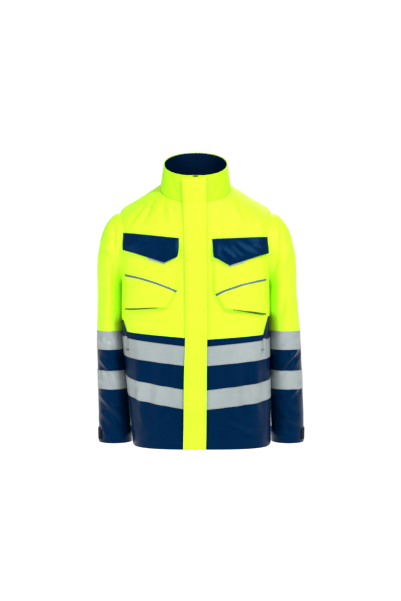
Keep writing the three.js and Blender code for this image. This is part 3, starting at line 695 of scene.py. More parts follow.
for name, side in SIDES:
    def zip_edge(h, side=side):
        return zip_q(side, h, 7.0)

    def edges(side=side):
        return {"first_edge": zip_edge} if side > 0 else {"last_edge": zip_edge}

    start = float(zip_q(side, 0, 7.0)) if side > 0 else 4 - float(zip_q(side, 0, 7.0))
    top = lambda q: yoke_line(q) + 5
    yoke = panel(f"{name}_front_yoke_cloth", ordered(side, start, *WEDGE_QS[name], 1.0), yoke_line,
        level(687.6), yellow, out=0.5, rows=90, **edges())
    settle(cut_armholes(yoke, 95.6), "jacket_body", "yellow_shell", f"{name}_front_yoke")
    skirt = panel(f"{name}_front_skirt_cloth", ordered(side, start, foot_q[name],
        CORNER_Q) if foot_q[name] < CORNER_Q - 0.01 else ordered(side, start, CORNER_Q), hem, top, navy,
            tuck_top=0.9, rows=64, **edges())
    settle(skirt, "jacket_body", "navy_shell", f"{name}_front_skirt")
    low_side = panel(f"{name}_side_panel_cloth", ordered(side, CORNER_Q, 1.0, BACK_Q), hem, top, navy,
        out=-0.4, tuck_top=0.6, rows=80)
    settle(cut_armholes(low_side, 95.6), "jacket_body", "navy_shell", f"{name}_side_panel")
    # topstitching: yoke edge, princess seam, centre front
    qs = np.linspace(start if side > 0 else 4 - start, 1.0 if side > 0 else 3.0, 160)
    stitch(body_at(qs, yoke_line(qs) + 3.5, 0.5), "jacket_body", "yellow")
    hs = np.linspace(4, WEDGE[name][1] - 3, 120)
    corner = np.full_like(hs, CORNER_Q if side > 0 else 4 - CORNER_Q)
    stitch(body_at(corner - side * 0.012, hs, 0.0), "jacket_body", "navy")
    stitch(body_at(zip_q(side, hs, 10.0), hs, 0.0), "jacket_body", "navy")
    hs = np.linspace(YOKE_CENTRE + 4, 684, 160)
    stitch(body_at(zip_q(side, hs, 10.0), hs, 0.5), "jacket_body", "yellow")

yoke = panel("back_yoke_cloth", (1.0, BACK_Q, 2.0, 4 - BACK_Q, 3.0), yoke_line, level(687.6), yellow,
    out=0.5, rows=90)
settle(cut_armholes(yoke, 95.6), "jacket_body", "yellow_shell", "back_yoke")
skirt = panel("back_skirt_cloth", (BACK_Q, 2.0, 4 - BACK_Q), hem, lambda q: level(YOKE_BACK + 5)(q), navy,
    tuck_top=0.9, rows=64)
settle(skirt, "jacket_body", "navy_shell", "back_skirt")
qs = np.linspace(1.0, 3.0, 260)
stitch(body_at(qs, yoke_line(qs) + 3.5, 0.5), "jacket_body", "yellow")
for q in (BACK_Q + 0.012, 4 - BACK_Q - 0.012):
    hs = np.linspace(4, YOKE_BACK - 3, 120)
    stitch(body_at(np.full_like(hs, q), hs, 0.0), "jacket_body", "navy")
qs = np.linspace(0.05, 3.95, 500)
stitch(body_at(qs, hem(qs) + 18.0, 0.0), "jacket_body", "navy")
print("body panels and their topstitching:", len(runs), "threads in use")

# %% Linings of the body
for name, side in SIDES:
    first = 0.095
    piece = panel(f"{name}_front_lining_cloth", ordered(side, first, 1.0), lambda q: hem(q) + 9.0,
        level(683.0), lining, out=-6.0, thickness=0.8, rows=50)
    settle(cut_armholes(piece, 95.6), "jacket_body", "lining", f"{name}_front_lining")
    bag = panel(f"{name}_hand_pocket_bag_cloth", ordered(side, 0.3, 0.78), level(92.0), level(270.0),
        lining, out=-3.4, thickness=1.2, rows=24)
    settle(bag, "jacket_body", "lining", f"{name}_hand_pocket_bag")
piece = panel("back_lining_cloth", (1.0, 3.0), lambda q: hem(q) + 9.0, level(683.0), lining, out=-6.0,
    thickness=0.8, rows=50)
settle(cut_armholes(piece, 95.6), "jacket_body", "lining", "back_lining")

# %% [markdown]
# ## Reflective bands
#
# The tape is 50 mm wide and stitched along both edges. Round the body it dips towards the centre front. It lies
# on the same folds as the cloth below it, a little proud of it.

# %% Tape round the body
TAPE = 50.0
BANDS = {"upper": (264.0, 286.0, 292.0),
    "lower": (150.0, 178.0, 188.0)}  # height at the zip, then at the left and the right side seam


def dipping(values, edge):
    def line(q):
        middle, left, right = values
        return edge + np.interp(q, (0, 0.85, 1.15, 2.85, 3.15, 4), (middle, left, left, right, right, middle))
    return line


for level_name, values in BANDS.items():
    low, high = dipping(values, -TAPE), dipping(values, 0)
    pieces = [("left_front", (0.10, 1.0)), ("right_front", (3.0, 3.905)), ("back", (1.0, 3.0))]
    for part_name, stops in pieces:
        node_name = f"{level_name}_band_{part_name}"
        tape = panel(node_name + "_tape", stops, low, high, silver, out=1.0, thickness=0.7, rows=14)
        settle(tape, "jacket_body", "reflective_tape", node_name)
    for lo, hi in ((0.13, 3.90),):
        qs = np.linspace(lo, hi, 500)
        stitch(body_at(qs, low(qs) + 2.0, 1.0), "jacket_body", "grey")
        stitch(body_at(qs, high(qs) - 2.0, 1.0), "jacket_body", "grey")

# %% [markdown]
# ## Collar
#
# The collar is a band that leans in a little towards its top and tilts down to the front. Yellow cloth is
# outside and glossy lining inside, and the rim between them is folded over, so the outer piece is a thin
# closed shell and the lining starts just below its top edge.

# %% The collar's form
COLLAR_TOP = 754.0
TILT = 0.52


def collar_form_at(share, up, out=0.0):
    def point(s, t):
        half, depth, h = 95 - 9 * t, 85 - 8 * t, NECK + 0.4 + (COLLAR_TOP - NECK - 0.4) * t
        front = FRONT_AT_HEM + LEAN * (h - TILT * depth)
        angle = s * 2 * math.pi
        y = front + depth - depth * signed_power(np.cos(angle), 2 / 2.15)
        return np.stack((half * signed_power(np.sin(angle), 2 / 2.15), y, h + TILT * (y - front - depth)), -1)
    share, up = np.asarray(share, float), np.asarray(up, float)
    e = 1e-3
    normal = np.cross(point(share + e, up) - point(share - e, up),
        point(share, up + e) - point(share, up - e))
    normal /= np.linalg.norm(normal, axis=-1, keepdims=True)
    at = point(share, up)
    creases = fold(at[..., 0], up * 70, ((-70, 66), (-44, 6)), 7, -1.6) + fold(at[..., 0], up * 70,
        ((-56, 60), (-34, 2)), 6, 1.4)
    creases += fold(at[..., 0], up * 70, ((74, 64), (40, 4)), 7, -1.6) + fold(at[..., 0], up * 70,
        ((52, 50), (30, 0)), 7, 1.3)
    creases *= (at[..., 1] < -60) * ease((np.abs(at[..., 0]) - 8) / 10)
    return at + normal * (np.asarray(out) + creases)[..., None]


shares = steps(0.0105, 0.9895, pitch=0.008)
# the outer cloth uses the darker copy of the yellow, which is painted shade
outer = lay("collar_outer_cloth", shares, np.linspace(0, 1, 20), lambda u, v: collar_form_at(u, v, 0.3),
    collar_yellow_painted_shade, 1.8, measure=(560.0, 66.0))
settle(outer, "jacket_body", "yellow_shell", "collar_outer")
inner = lay("collar_lining_cloth", steps(0.02, 0.98, pitch=0.008), np.linspace(0.0, 0.975, 16), lambda u,
    v: collar_form_at(u, v, -1.8), lining, 1.0, measure=(560.0, 66.0))
settle(inner, "jacket_body", "lining", "collar_lining")
ring = np.linspace(0.02, 0.98, 400)
stitch(collar_form_at(ring, np.full_like(ring, 0.92), 0.3), "jacket_body", "yellow")
stitch(collar_form_at(ring, np.full_like(ring, 0.06), 0.3), "jacket_body", "yellow")

# %% [markdown]
# ## Sleeves
#
# A sleeve is a tube whose rings fan round the armpit, from the upright ring that turns in the armhole to the
# level rings of the arm. Its form is a table like the body's: around the arm one way, down it the other.

# %% The sleeve's form
STATIONS = {
    "left": [  # angle, inner edge, level, width, half depth, offset back
        (0, 176, 432, 190, 94.6, 0), (0, 199, 432, 190, 94.6, 0), (3, 199, 431.5, 192.5, 94.4, 0),
        (8.5, 199, 430, 191, 93, 0),
        (16, 199, 429, 173.5, 91, 0), (30, 199, 426, 129, 86, 0), (50, 199, 423, 96, 80, 0),
        (70, 199, 420, 80, 75, 0),
        (90, 198.5, 416, 76.5, 73, 0), (90, 199.5, 298, 86.5, 64, -3), (90, 201.5, 200, 89.5, 57, -6),
        (90, 205, 100, 90, 50, -11), (90, 207, 40, 89, 46, -15), (90, 208, 0, 87, 44, -17),
    ],
    "right": [
        (0, 176, 432, 190, 94.6, 0), (0, 199, 432, 190, 94.6, 0), (3, 199, 431.5, 192.5, 94.4, 0),
        (8.5, 199, 430, 190, 93, 0),
        (16, 199, 429, 170.5, 91, 0), (30, 199, 426, 123, 86, 0), (50, 199, 423, 88, 80, 0),
        (70, 199, 420, 73, 75, 0),
        (90, 199, 416, 68, 73, 0), (90, 197.5, 298, 73, 64, -3), (90, 190, 200, 79, 57, -6),
        (90, 181.5, 100, 85, 50, -11), (90, 177, 40, 88, 46, -15), (90, 175, 0, 89, 44, -17),
    ],
}
SLEEVE_FOLDS = {
    "right": [  # in front view: x, height
        (((-218, 612), (-214, 500)), 4.5, -4.2), (((-215, 520), (-219, 330)), 5, -4.0),
        (((-232, 480), (-236, 320)), 9, 3.2),
        (((-254, 574), (-216, 544)), 4.5, -3.4), (((-250, 530), (-222, 486)), 5.5, -3.2),
        (((-234, 600), (-230, 520)), 7, 3.0),
        (((-260, 548), (-222, 516)), 6, 2.4), (((-262, 440), (-226, 380)), 8, -2.4),
        (((-266, 380), (-226, 330)), 8, 2.2),
        (((-264, 232), (-212, 184)), 5.5, 4.2), (((-260, 208), (-214, 162)), 5, -3.4),
        (((-264, 134), (-182, 62)), 6, 4.4),
        (((-258, 100), (-190, 44)), 6, -3.8), (((-250, 300), (-200, 240)), 7, -2.8),
        (((-262, 66), (-236, 8)), 6, 2.4),
        (((-264, 180), (-214, 140)), 6, 2.6), (((-262, 282), (-216, 258)), 7, 2.2),
    ],
    "left": [
        (((230, 612), (226, 510)), 4.5, -4.2), (((228, 530), (206, 456)), 5, -4.6),
        (((208, 480), (206, 320)), 5, -4.0),
        (((254, 556), (226, 460)), 8, 3.8), (((264, 520), (232, 430)), 5.5, -3.2),
        (((226, 470), (218, 330)), 8, 3.0),
        (((238, 450), (228, 320)), 7, -2.8), (((262, 430), (240, 330)), 8, 2.4),
        (((252, 590), (244, 540)), 6, -2.2),
        (((284, 266), (226, 192)), 5.5, 4.2), (((278, 240), (224, 178)), 5, -3.4),
        (((208, 100), (280, 46)), 5.5, 4.2), (((214, 124), (286, 72)), 7, -3.6),
        (((288, 166), (246, 116)), 6, 2.8),
        (((284, 290), (230, 262)), 7, 2.4), (((220, 66), (262, 20)), 6, 2.2),
    ],
}
AROUND, STEP = 120, 3.0


def sleeve_form(name, side):
    rows = np.array(STATIONS[name], float)
    at = np.array((0, 1, 1.3, 1.65, 2, 3, 4, 5, 6, 7, 8, 9, 10, 11))
    s = np.linspace(0, 11, 441)
    values = [np.interp(s, at, rows[:, k]) for k in range(6)]
    soft = [blurred(v, 14) for v in values]
    keep = ease((s - 1.0) / 1.0)
    angle, near, level_, reach_, depth, back = [a * (1 - keep) + b * keep for a, b in zip(values, soft)]
    turn = np.linspace(0, 2 * math.pi, AROUND + 1)[None, :]
    lean = np.radians(angle)[:, None]
    across = reach_[:, None] / 2 * (1 - np.cos(turn))
    points = np.stack((
        side * (near[:, None] + across * np.sin(lean)),
        ARMHOLE[1] + back[:, None] - side * depth[:, None] * np.sin(turn),
        level_[:, None] + across * np.cos(lean)), 2)
    middle = points[:, AROUND // 4] * 0.5 + points[:, AROUND * 3 // 4] * 0.5
    run = np.concatenate(((0,), np.cumsum(np.linalg.norm(np.diff(middle, axis=0), axis=1))))
    even = np.arange(0, run[-1] + STEP, STEP)
    even[-1] = run[-1]
    form = np.array([[np.interp(even, run,
        points[:, j, k]) for k in range(3)] for j in range(AROUND + 1)]).transpose(2, 0, 1)
    return form[::-1], even[-1] - even[::-1]  # from the cuff up, so that cloth faces outwards


sleeves = {}
for name, side in SIDES:
    form, rise = sleeve_form(name, side)
    normal = normals_of(form)
    x, z = form[..., 0], form[..., 2]
    front_side, back_side = ease(-normal[..., 1] * 1.6 + 0.2), ease(normal[..., 1] * 1.6 + 0.2)
    raised = sum(fold(x, z, *f) for f in SLEEVE_FOLDS[name]) * front_side
    raised += sum(fold(x, z, ((a[0] * 1.0, a[1] + 14), (b[0], b[1] + 14)), w, h) for (a, b), w,
        h in SLEEVE_FOLDS[name]) * back_side
    raised += strewn(form[..., 1] + x, z, 21 + side, 40, 0.5, 0.8)
    free = ease((np.abs(x) - 200) / 14) * np.ones_like(x)
    free = np.where(z < 425, np.maximum(free, ease((425 - z) / 30)), free)
    free *= 0.4 + 0.6 * ease((z - 8) / 40)
    inward = 1 - 0.8 * ease(-side * normal[..., 0] * 1.5 - 0.3)  # little room on the side next to the body
    form = form + normal * (raised * free * inward)[..., None]
    normal = normals_of(form)
    normal[:, 0] = normal[:, -1] = (normal[:, 0] + normal[:, -1]) / 2
    sleeves[name] = (form, normal, rise)
    print(name, "sleeve:", form.shape, "lowest %.1f" % form[..., 2].min())


def sleeve_at(name, around, rise, out=0.0):
    form, normal, table = sleeves[name]
    row = np.interp(rise, table, np.arange(len(table)))
    return read_form(form, normal, row, np.asarray(around, float) * AROUND, out)


def rise_of(name, height):
    """How far up from the cuff a level of the straight arm lies."""
    form, normal, table = sleeves[name]
    return float(np.interp(height, form[:60, :, 2].mean(1)[:60] if height < 150 else form[:140, :,
        2].mean(1), table[:60] if height < 150 else table[:140]))


# %% Sleeve pieces
CUFF, SPLIT, SLEEVE_TAPES = 40.0, 303.0, (303.0, 196.0)


def tube(title, name, low, high, material, out=0.0, thickness=1.2, pitch=4.0, ends=(0.0, 1.0), tuck_low=0.0,
    tuck_high=0.0):
    us = np.linspace(*ends, 97)
    vs = steps(low, high, pitch=pitch)

    def place(u, v):
        inset = tuck_low * ease((low + 6 - v) / 6) + tuck_high * ease((v - high + 6) / 6)
        return sleeve_at(name, u, v, out - inset)

    return lay(title, us, vs, place, material, thickness, measure=(320.0, 1.0), close=True)


for name, side in SIDES:
    body = f"{name}_sleeve"
    cuff, split, top = rise_of(name, CUFF), rise_of(name, SPLIT), float(sleeves[name][2][-1])
    settle(tube(f"{name}_sleeve_upper_cloth", name, split, top, yellow, out=0.2), body, "yellow_shell",
        f"{name}_sleeve_upper")
    settle(tube(f"{name}_sleeve_lower_cloth", name, cuff - 3, split + 3, navy, tuck_high=0.9), body,
        "navy_shell", f"{name}_sleeve_lower")
    settle(tube(f"{name}_cuff_cloth", name, 0, cuff, navy, out=0.9, thickness=2.2, pitch=3.0), body,
        "navy_shell", f"{name}_cuff")
    settle(tube(f"{name}_sleeve_lining_cloth", name, 8, top - 3, lining, out=-4.2, thickness=0.8,
        pitch=8.0), body, "lining", f"{name}_sleeve_lining")
    ring = np.linspace(0, 1, 200)
    for rise, out, thread in ((4.0, 0.9, "navy"), (cuff - 3, 0.9, "navy"), (split + 3.5, 0.2, "yellow")):
        stitch(sleeve_at(name, ring, np.full_like(ring, rise), out), body, thread)
    for label, tape_top in zip(("upper", "lower"), SLEEVE_TAPES):
        high, low = rise_of(name, tape_top), rise_of(name, tape_top - TAPE)
        band = tube(f"{name}_sleeve_{label}_tape", name, low, high, silver, out=1.0, thickness=0.8, pitch=4.0)
        settle(band, body, "reflective_tape", f"{name}_sleeve_{label}_band")
        for rise in (low + 2, high - 2):
            stitch(sleeve_at(name, ring, np.full_like(ring, rise), 1.0), body, "grey")
    # the tab that tightens the cuff: a tongue of hook tape with a rounded free end
    first, last = (0.385, 0.68) if side > 0 else (0.32, 0.615)

    def tongue(u, v, name=name, side=side, first=first, last=last):
        free_end = (1 - (u - first) / (last - first)) if side > 0 else (u - first) / (last - first)
        pinch = 1 - 0.22 * ease((free_end - 0.86) / 0.14) ** 2
        return sleeve_at(name, u, 22 + (v - 22) * pinch, 2.6 + 0.5 * ease((free_end - 0.8) / 0.2))

    tab = lay(f"{name}_cuff_tab_cloth", np.linspace(first, last, 40), np.linspace(7, 37, 13), tongue, black,
        1.7, measure=(320.0, 1.0))
    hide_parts(f"{name}_cuff_tab")
    end = to_frame(sleeve_at(name, np.array([last - 0.02 if side > 0 else first + 0.02]), np.array([22.0]),
        2.0))[0]
    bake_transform(tab)

# %% [markdown]
# ## Zip
#
# The zip runs up the leaning centre front. Its tapes keep their plain solids. Each tooth is a small bevelled
# block, and the two rows interlock, so one row is half a pitch above the other. The slider is two flat plates
# joined by a post, with a small block on its front, and its puller hangs down flat.

# %% The front's leaning frame
LEAN_ANGLE = math.atan(LEAN)


def leaning(x, y, z):
    """From the zip's own measure to cutting measure: y is the depth behind the front, z runs up it."""
    x, y, z = (np.asarray(value, float) for value in (x, y, z))
    return np.stack(np.broadcast_arrays(
        x, FRONT_AT_HEM + y * math.cos(LEAN_ANGLE) + z * math.sin(LEAN_ANGLE),
        z * math.cos(LEAN_ANGLE) - y * math.sin(LEAN_ANGLE)), -1)


FRONT_LENGTH = (COLLAR_TOP - TILT * 77) * math.hypot(1, LEAN)
ZIP_TOP = FRONT_LENGTH - 4
SLIDER_Z = ZIP_TOP - 4 - 5.5 - 1
tilt_matrix = Matrix.Rotation(-LEAN_ANGLE, 4, "X")


def lean_block(bm, centre, size):
    matrix = Matrix.Translation(to_frame(leaning(*centre))) @ tilt_matrix @ Matrix.Diagonal((*[s / 1000 for s in size], 1))
    return bmesh.ops.create_cube(bm, size=1, matrix=matrix)["verts"]


def finish_blocks(name, bm, material, width, segments=2):
    bmesh.ops.bevel(bm, geom=bm.edges[:], offset=width / 1000, affect="EDGES", segments=segments,
        profile=0.5, material=-1)
    mesh = bpy.data.meshes.new(name)
    bm.to_mesh(mesh)
    bm.free()
    obj = new_object(name, mesh, material)
    mesh.shade_smooth()
    mesh.set_sharp_from_angle(angle=math.radians(35))
    return obj


# %% Teeth, slider and puller
for name, side in SIDES:
    bm = bmesh.new()
    pitch = 2.8
    for k in range(int((ZIP_TOP - 4 - 18) / pitch)):
        z = 19 + pitch * (k + (0.5 if side > 0 else 0))
        lean_block(bm, (side * 1.5, 2.1, z), (3.0, 2.8, 1.25))
    settle(finish_blocks(f"{name}_teeth", bm, plastic, 0.25, 1), "jacket_body", "zip_plastic",
        f"{name}_zip_teeth")
bm = bmesh.new()
lean_block(bm, (0, -0.1, SLIDER_Z), (8.2, 0.9, 11))
lean_block(bm, (0, 4.3, SLIDER_Z), (8.2, 0.9, 11))
lean_block(bm, (0, 2.1, SLIDER_Z + 3), (0.8, 4.2, 4))
lean_block(bm, (0, -0.85, SLIDER_Z), (2.8, 0.8, 5))
slider = finish_blocks("slider_body", bm, enamel, 0.3)
settle(slider, "main_slider", "slider_metal", "main_slider")
bm = bmesh.new()
lean_block(bm, (0, -1.35, SLIDER_Z - 12), (5.6, 0.9, 20))
puller = finish_blocks("puller_tongue", bm, enamel, 0.35, 3)
settle(puller, "main_slider", "slider_metal", "main_puller")
for node_name, material in (("left_zip_tape", plastic), ("right_zip_tape", plastic),
    ("zip_bottom_box", plastic)):
    mesh = frame["nodes"][node_name].data
    mesh.materials.clear()
    mesh.materials.append(material)

# %% [markdown]
# ## Storm flap
#
# The flap is a double strip of yellow cloth, stitched down on the wearer's left and closed on the right with
# hook and loop tape. It is wider than the zip by far and stands a few millimetres proud. Near the neck seam it
# puckers across.

# %% The flap
FLAP_LEFT, FLAP_RIGHT, FLAP_OFF = 28.0, -33.0, 3.4
FLAP_TOP = FRONT_LENGTH - 5
FLAP_HEIGHTS = (0.0, 150.0, 290.0, 450.0, 600.0, 710.0)
PUCKERS = [((-34, 694), (26, 690), 3.0, -1.5), ((-20, 681), (24, 678), 4, 1.2),
    ((-34, 668), (18, 672), 3.2, -1.6),
           ((-34, 652), (28, 655), 3.2, -1.5), ((-30, 632), (16, 628), 4, 1.2),
           ((-34, 612), (4, 618), 5, -1.2),
           ((-30, 470), (10, 476), 9, 1.0), ((-34, 384), (-2, 390), 8, -1.2), ((2, 330), (30, 326), 8, -1.0),
           ((-34, 200), (20, 206), 12, 1.0), ((-34, 120), (10, 112), 9, -0.9)]


def flap_place(u, v):
    lift = sum(fold(u, v, (a, b), w, h) for a, b, w, h in PUCKERS)
    lift = lift + 0.8 * np.sin(v / 61.0) * ease((u - FLAP_LEFT) / (FLAP_RIGHT - FLAP_LEFT)) + strewn(u, v,
        3, 30, 0.2, 0.25)
    seam_dip = -0.7 * np.exp(-(((v - 645) / 1.6) ** 2))
    crown = 0.5 * ease(1 - np.abs(u + 1) / 32)
    # its two edges waver as they go down
    left_edge = np.interp(v, FLAP_HEIGHTS, (27.5, 29.0, 30.6, 30.6, 28.6, 27.6)) + 0.3 * np.sin(v / 47.0)
    free_edge = np.interp(v, FLAP_HEIGHTS, (-31.8, -30.0, -27.0, -27.0, -31.0,
        -35.5)) + 0.4 * np.sin(v / 39.0)
    x = free_edge + (left_edge - free_edge) * (u - FLAP_RIGHT) / (FLAP_LEFT - FLAP_RIGHT)
    return leaning(x, -(FLAP_OFF + 2.0 + crown + lift + seam_dip), v)


us, vs = steps(FLAP_RIGHT, FLAP_LEFT, pitch=2.2), steps(0.0, FLAP_TOP, pitch=3.0)
flap = lay("storm_flap_cloth", us, vs, flap_place, yellow, 2.0, measure=(1.0, 1.0))
mod = flap.modifiers.new("rounded", "BEVEL")
mod.width, mod.segments, mod.limit_method, mod.angle_limit = 0.0006, 2, "ANGLE", math.radians(50)
bake(flap, 60)
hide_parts("storm_flap")
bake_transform(flap)
for offset in (FLAP_RIGHT + 6, FLAP_RIGHT + 7.8, FLAP_LEFT - 7):
    zz = np.linspace(4, FLAP_TOP - 3, 300)
    stitch(flap_place(np.full_like(zz, offset), zz), "storm_flap", "yellow")
xx = np.linspace(FLAP_RIGHT + 3, FLAP_LEFT - 4, 30)
for z0 in (4.0, 642.0, 649.0, FLAP_TOP - 4):
    stitch(flap_place(xx, np.full_like(xx, z0)), "storm_flap", "yellow")

# %% Hook and loop tapes
for label, body, y, height in (("flap_hook_tape", "storm_flap", -2.7, 1.0),
    ("front_loop_tape", "jacket_body", -1.3, 0.9)):
    face = 1 if body == "jacket_body" else -1
    xs, zs = steps(-25.5, -11.0, pitch=2.0), steps(30.0, FRONT_LENGTH - 90, pitch=4.0)
    if face < 0:
        xs = xs[::-1]
    strip = lay(label + "_pile", xs, zs, lambda u, v, y=y, face=face,
        height=height: leaning(u, y - face * height / 2 + 0.12 * np.sin(v * 1.3) * np.sin(u * 1.1), v),
        black, height * 0.8, measure=(1.0, 1.0))
    settle(strip, body, "hook_and_loop", label)

# %% [markdown]
# ## Chest pockets
#
# A patch pocket lies flat at its top and is fuller towards its bottom, where a bellows fold opens; the dark
# line under the fold is a thin strip of painted shade. Its inner bottom corner is cut off. A line of grey
# piping crosses it, and a navy flap with a point hangs over its mouth, with a short grey pull tab under the
# point. All are placed in front view and laid on the front's form.

# %% Pocket shapes in front view, for the left; x is turned round for the right
POCKET_LIFT = {"left": -4.0, "right": 4.0}
POCKET = {"inner": 45.0, "outer": 187.0, "bottom": 351.0, "top": 530.0, "cut_x": 28.0, "cut_z": 46.0}
FLAPS = {
    "left": {"inner": (43.0, 50.0), "outer": (189.0, 186.0), "inner_top": 552.0, "outer_top": 558.0,
        "inner_low": 503.0, "outer_low": 515.0, "tip_x": 83.0, "tip": 482.0},
    "right": {"inner": (43.0, 49.0), "outer": (190.5, 184.5), "inner_top": 546.0, "outer_top": 561.0,
        "inner_low": 496.0, "outer_low": 516.0, "tip_x": 76.0, "tip": 481.0},
}
FLOOR_RISE = {"left": (19.0, 3.0),
    "right": (13.0, 9.0)}  # how far the bag's bottom edge lies up, at the zip's side and outside


def pocket_fullness(a, b):
    """Height of the bag over the front: a runs out from the zip, b up from the bottom."""
    side = ease(np.minimum(a, 1 - a) * 142 / 9)
    edge = side * ease((1 - b) * 180 / 9) * ease((b * 180 + 1.5) / 4.0)
    belly = 2.0 + 7.4 * ease(1 - b) ** 1.4 + 1.8 * np.sin(math.pi * np.clip(a, 0, 1)) * ease(1.3 - b)
    return 1.6 + edge * belly


def pocket_point(name, side, a, z, extra=0.0):
    """A point of the bag's outer face: a runs out from the zip, z is the height before the pocket's own lift."""
    lift = POCKET_LIFT[name]
    rise = FLOOR_RISE[name][0] + (FLOOR_RISE[name][1] - FLOOR_RISE[name][0]) * a
    low = POCKET["bottom"] + rise
    b = (z - low) / (POCKET["top"] - low)
    inner = POCKET["inner"] + POCKET["cut_x"] * np.maximum(0, 1 - (z - low) / POCKET["cut_z"])
    x = inner + (POCKET["outer"] - inner) * a
    pulls = (
        ((140, 486), (184, 446), 5, -2.4), ((108, 478), (164, 432), 7, 2.2), ((56, 406), (150, 374), 7, 2.4),
        ((78, 392), (180, 368), 5, -2.2), ((54, 476), (86, 414), 7, -1.8), ((124, 440), (176, 398), 6, 1.7),
        ((60, 448), (110, 400), 7, 1.4),
    )
    out = pocket_fullness(a, b) - 1.6 * np.exp(-(((a - 0.955) / 0.016) ** 2)) * ease((1 - b) * 6)
    out = out + sum(fold(x, z, (p, q), w, h) for p, q, w, h in pulls) * ease(np.minimum(a, 1 - a) * 8)
    return front_at(side * x, z + lift, out + extra)


def pocket_piece(name, side):
    def place(u, v):
        a = u if side > 0 else 1 - u
        low = POCKET["bottom"] + FLOOR_RISE[name][0] + (FLOOR_RISE[name][1] - FLOOR_RISE[name][0]) * a
        return pocket_point(name, side, a, low + v * (POCKET["top"] - low))

    us = steps(0.0, 0.03, 0.97, 1.0, pitch=0.018)
    vs = steps(0.0, 0.12, 1.0, pitch=0.014)
    bag = lay(f"{name}_chest_pocket_bag", us, vs, place, yellow, 1.2, measure=(142.0, 179.0))
    settle(bag, "jacket_body", "yellow_shell", f"{name}_chest_pocket")
    for edge in (0.02, 0.98):
        vv = np.linspace(0.02, 0.98, 120)
        stitch(place(np.full_like(vv, edge), vv), "jacket_body", "yellow")
    uu = np.linspace(0.02, 0.98, 120)
    stitch(place(uu, np.full_like(uu, 0.015)), "jacket_body", "yellow")


def painted_shade_strip_piece(name, side):
    """A dark strip of painted shade under the bag's bottom edge, where the bellows fold lies in shadow, deeper
    towards the outside.
    """
    def place(u, v):
        a = 0.22 + 0.765 * (u if side > 0 else 1 - u)
        low = POCKET["bottom"] + FLOOR_RISE[name][0] + (FLOOR_RISE[name][1] - FLOOR_RISE[name][0]) * a
        depth = 0.3 + 2.6 * ease((a - 0.22) / 0.6)
        return pocket_point(name, side, a, low + 1.2 - (depth + 1.2) * (1 - v) , 1.1 * v - 0.4)

    shade_strip = lay(f"{name}_pocket_painted_shade_strip", np.linspace(0, 1, 60), np.linspace(0, 1, 6), place, painted_fold_shade, 0.7,
        measure=(108.0, 4.0))
    settle(shade_strip, "jacket_body", "yellow_shell", f"{name}_chest_pocket")


def piping_piece(name, side):
    start_z, end_z = (404.0, 446.0) if side > 0 else (405.0, 450.0)

    def place(u, v):
        a = u if side > 0 else 1 - u
        z = start_z + (end_z - start_z) * np.sin(a * math.pi / 2.6) / math.sin(math.pi / 2.6)
        roll = 1.3 * np.cos((v - 0.5) * math.pi) + 0.35
        return pocket_point(name, side, a, z + (v - 0.5) * 6.0, roll)

    cord = lay(f"{name}_piping_cord", np.linspace(0.01, 0.99, 60), np.linspace(0, 1, 9), place, grey, 1.0,
        measure=(142.0, 6.0))
    settle(cord, "jacket_body", "grey_trim", f"{name}_pocket_piping")


def flap_lower(name, a):
    shape = FLAPS[name]
    x = shape["inner"][0] + (shape["outer"][1] - shape["inner"][0]) * a
    return np.interp(x, (44, shape["tip_x"], 188), (shape["inner_low"], shape["tip"], shape["outer_low"]))


def chest_flap_piece(name, side):
    lift, shape = POCKET_LIFT[name], FLAPS[name]
    tip = (shape["tip_x"] - 44) / 144
    ripples = (
        ((66, 532), (112, 488), 7, 1.5), ((112, 548), (168, 520), 7, -1.1), ((92, 544), (132, 504), 6, -1.0),
        ((140, 534), (182, 524), 6, 0.9),
    )

    def place(u, v):
        a = u if side > 0 else 1 - u
        low, high = flap_lower(name, a), shape["inner_top"] + (shape["outer_top"] - shape["inner_top"]) * a
        z = low + (high - low) * v
        inner = shape["inner"][1] + (shape["inner"][0] - shape["inner"][1]) * v
        outer = shape["outer"][1] + (shape["outer"][0] - shape["outer"][1]) * v
        x = inner + (outer - inner) * a
        # it stands clear of the full bag below and is sewn down along its top
        out = 3.4 + 7.2 * ease(1 - v) + 0.7 * np.sin(a * 9 + v * 2) * (1 - v)
        out = out + sum(fold(x, z, (p, q), w, h) for p, q, w, h in ripples)
        return front_at(side * x, z + lift, out)

    us = steps(0.0, tip, 1.0, pitch=0.02) if side > 0 else steps(0.0, 1 - tip, 1.0, pitch=0.02)
    flap = lay(f"{name}_chest_flap_cloth", us, np.linspace(0, 1, 28), place, navy, 1.6, measure=(142.0, 60.0))
    mod = flap.modifiers.new("rounded", "BEVEL")
    mod.width, mod.segments, mod.limit_method, mod.angle_limit = 0.0005, 2, "ANGLE", math.radians(50)
    bake(flap, 60)
    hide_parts(f"{name}_chest_flap")
    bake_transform(flap)
    for edge in (0.03, 0.97):
        vv = np.linspace(0.06, 0.80, 50)
        stitch(place(np.full_like(vv, edge), vv), f"{name}_chest_flap", "navy")
    uu = np.linspace(0.03, 0.97, 120)
    stitch(place(uu, np.full_like(uu, 0.06)), f"{name}_chest_flap", "navy")
    stitch(place(uu, np.full_like(uu, 0.95)), "jacket_body", "navy")

    def tab_place(u, v):
        a = (shape["tip_x"] + 3 + 44 * (u if side > 0 else 1 - u) - 44) / 146
        z = flap_lower(name, a) + lift - 5 + 12 * v
        return front_at(side * (44 + 146 * a), z, 8.2 + 0 * u)

    tab = lay(f"{name}_flap_tab_tape", np.linspace(0, 1, 24), np.linspace(0, 1, 8), tab_place, silver, 0.8,
        measure=(44.0, 14.0))
    settle(tab, f"{name}_chest_flap", "grey_trim", f"{name}_flap_tab")


for name, side in SIDES:
    pocket_piece(name, side)
    # a dark strip of painted shade under each bag's bellows fold
    painted_shade_strip_piece(name, side)
    piping_piece(name, side)
    chest_flap_piece(name, side)

# %% [markdown]
# ## Hand pockets
#
# The hand pocket opens along the edge of the side wedge. Its welt is a narrow folded strip that crosses the
# upper band, double stitched, and a dense bar of thread, a bartack, closes its lower end.

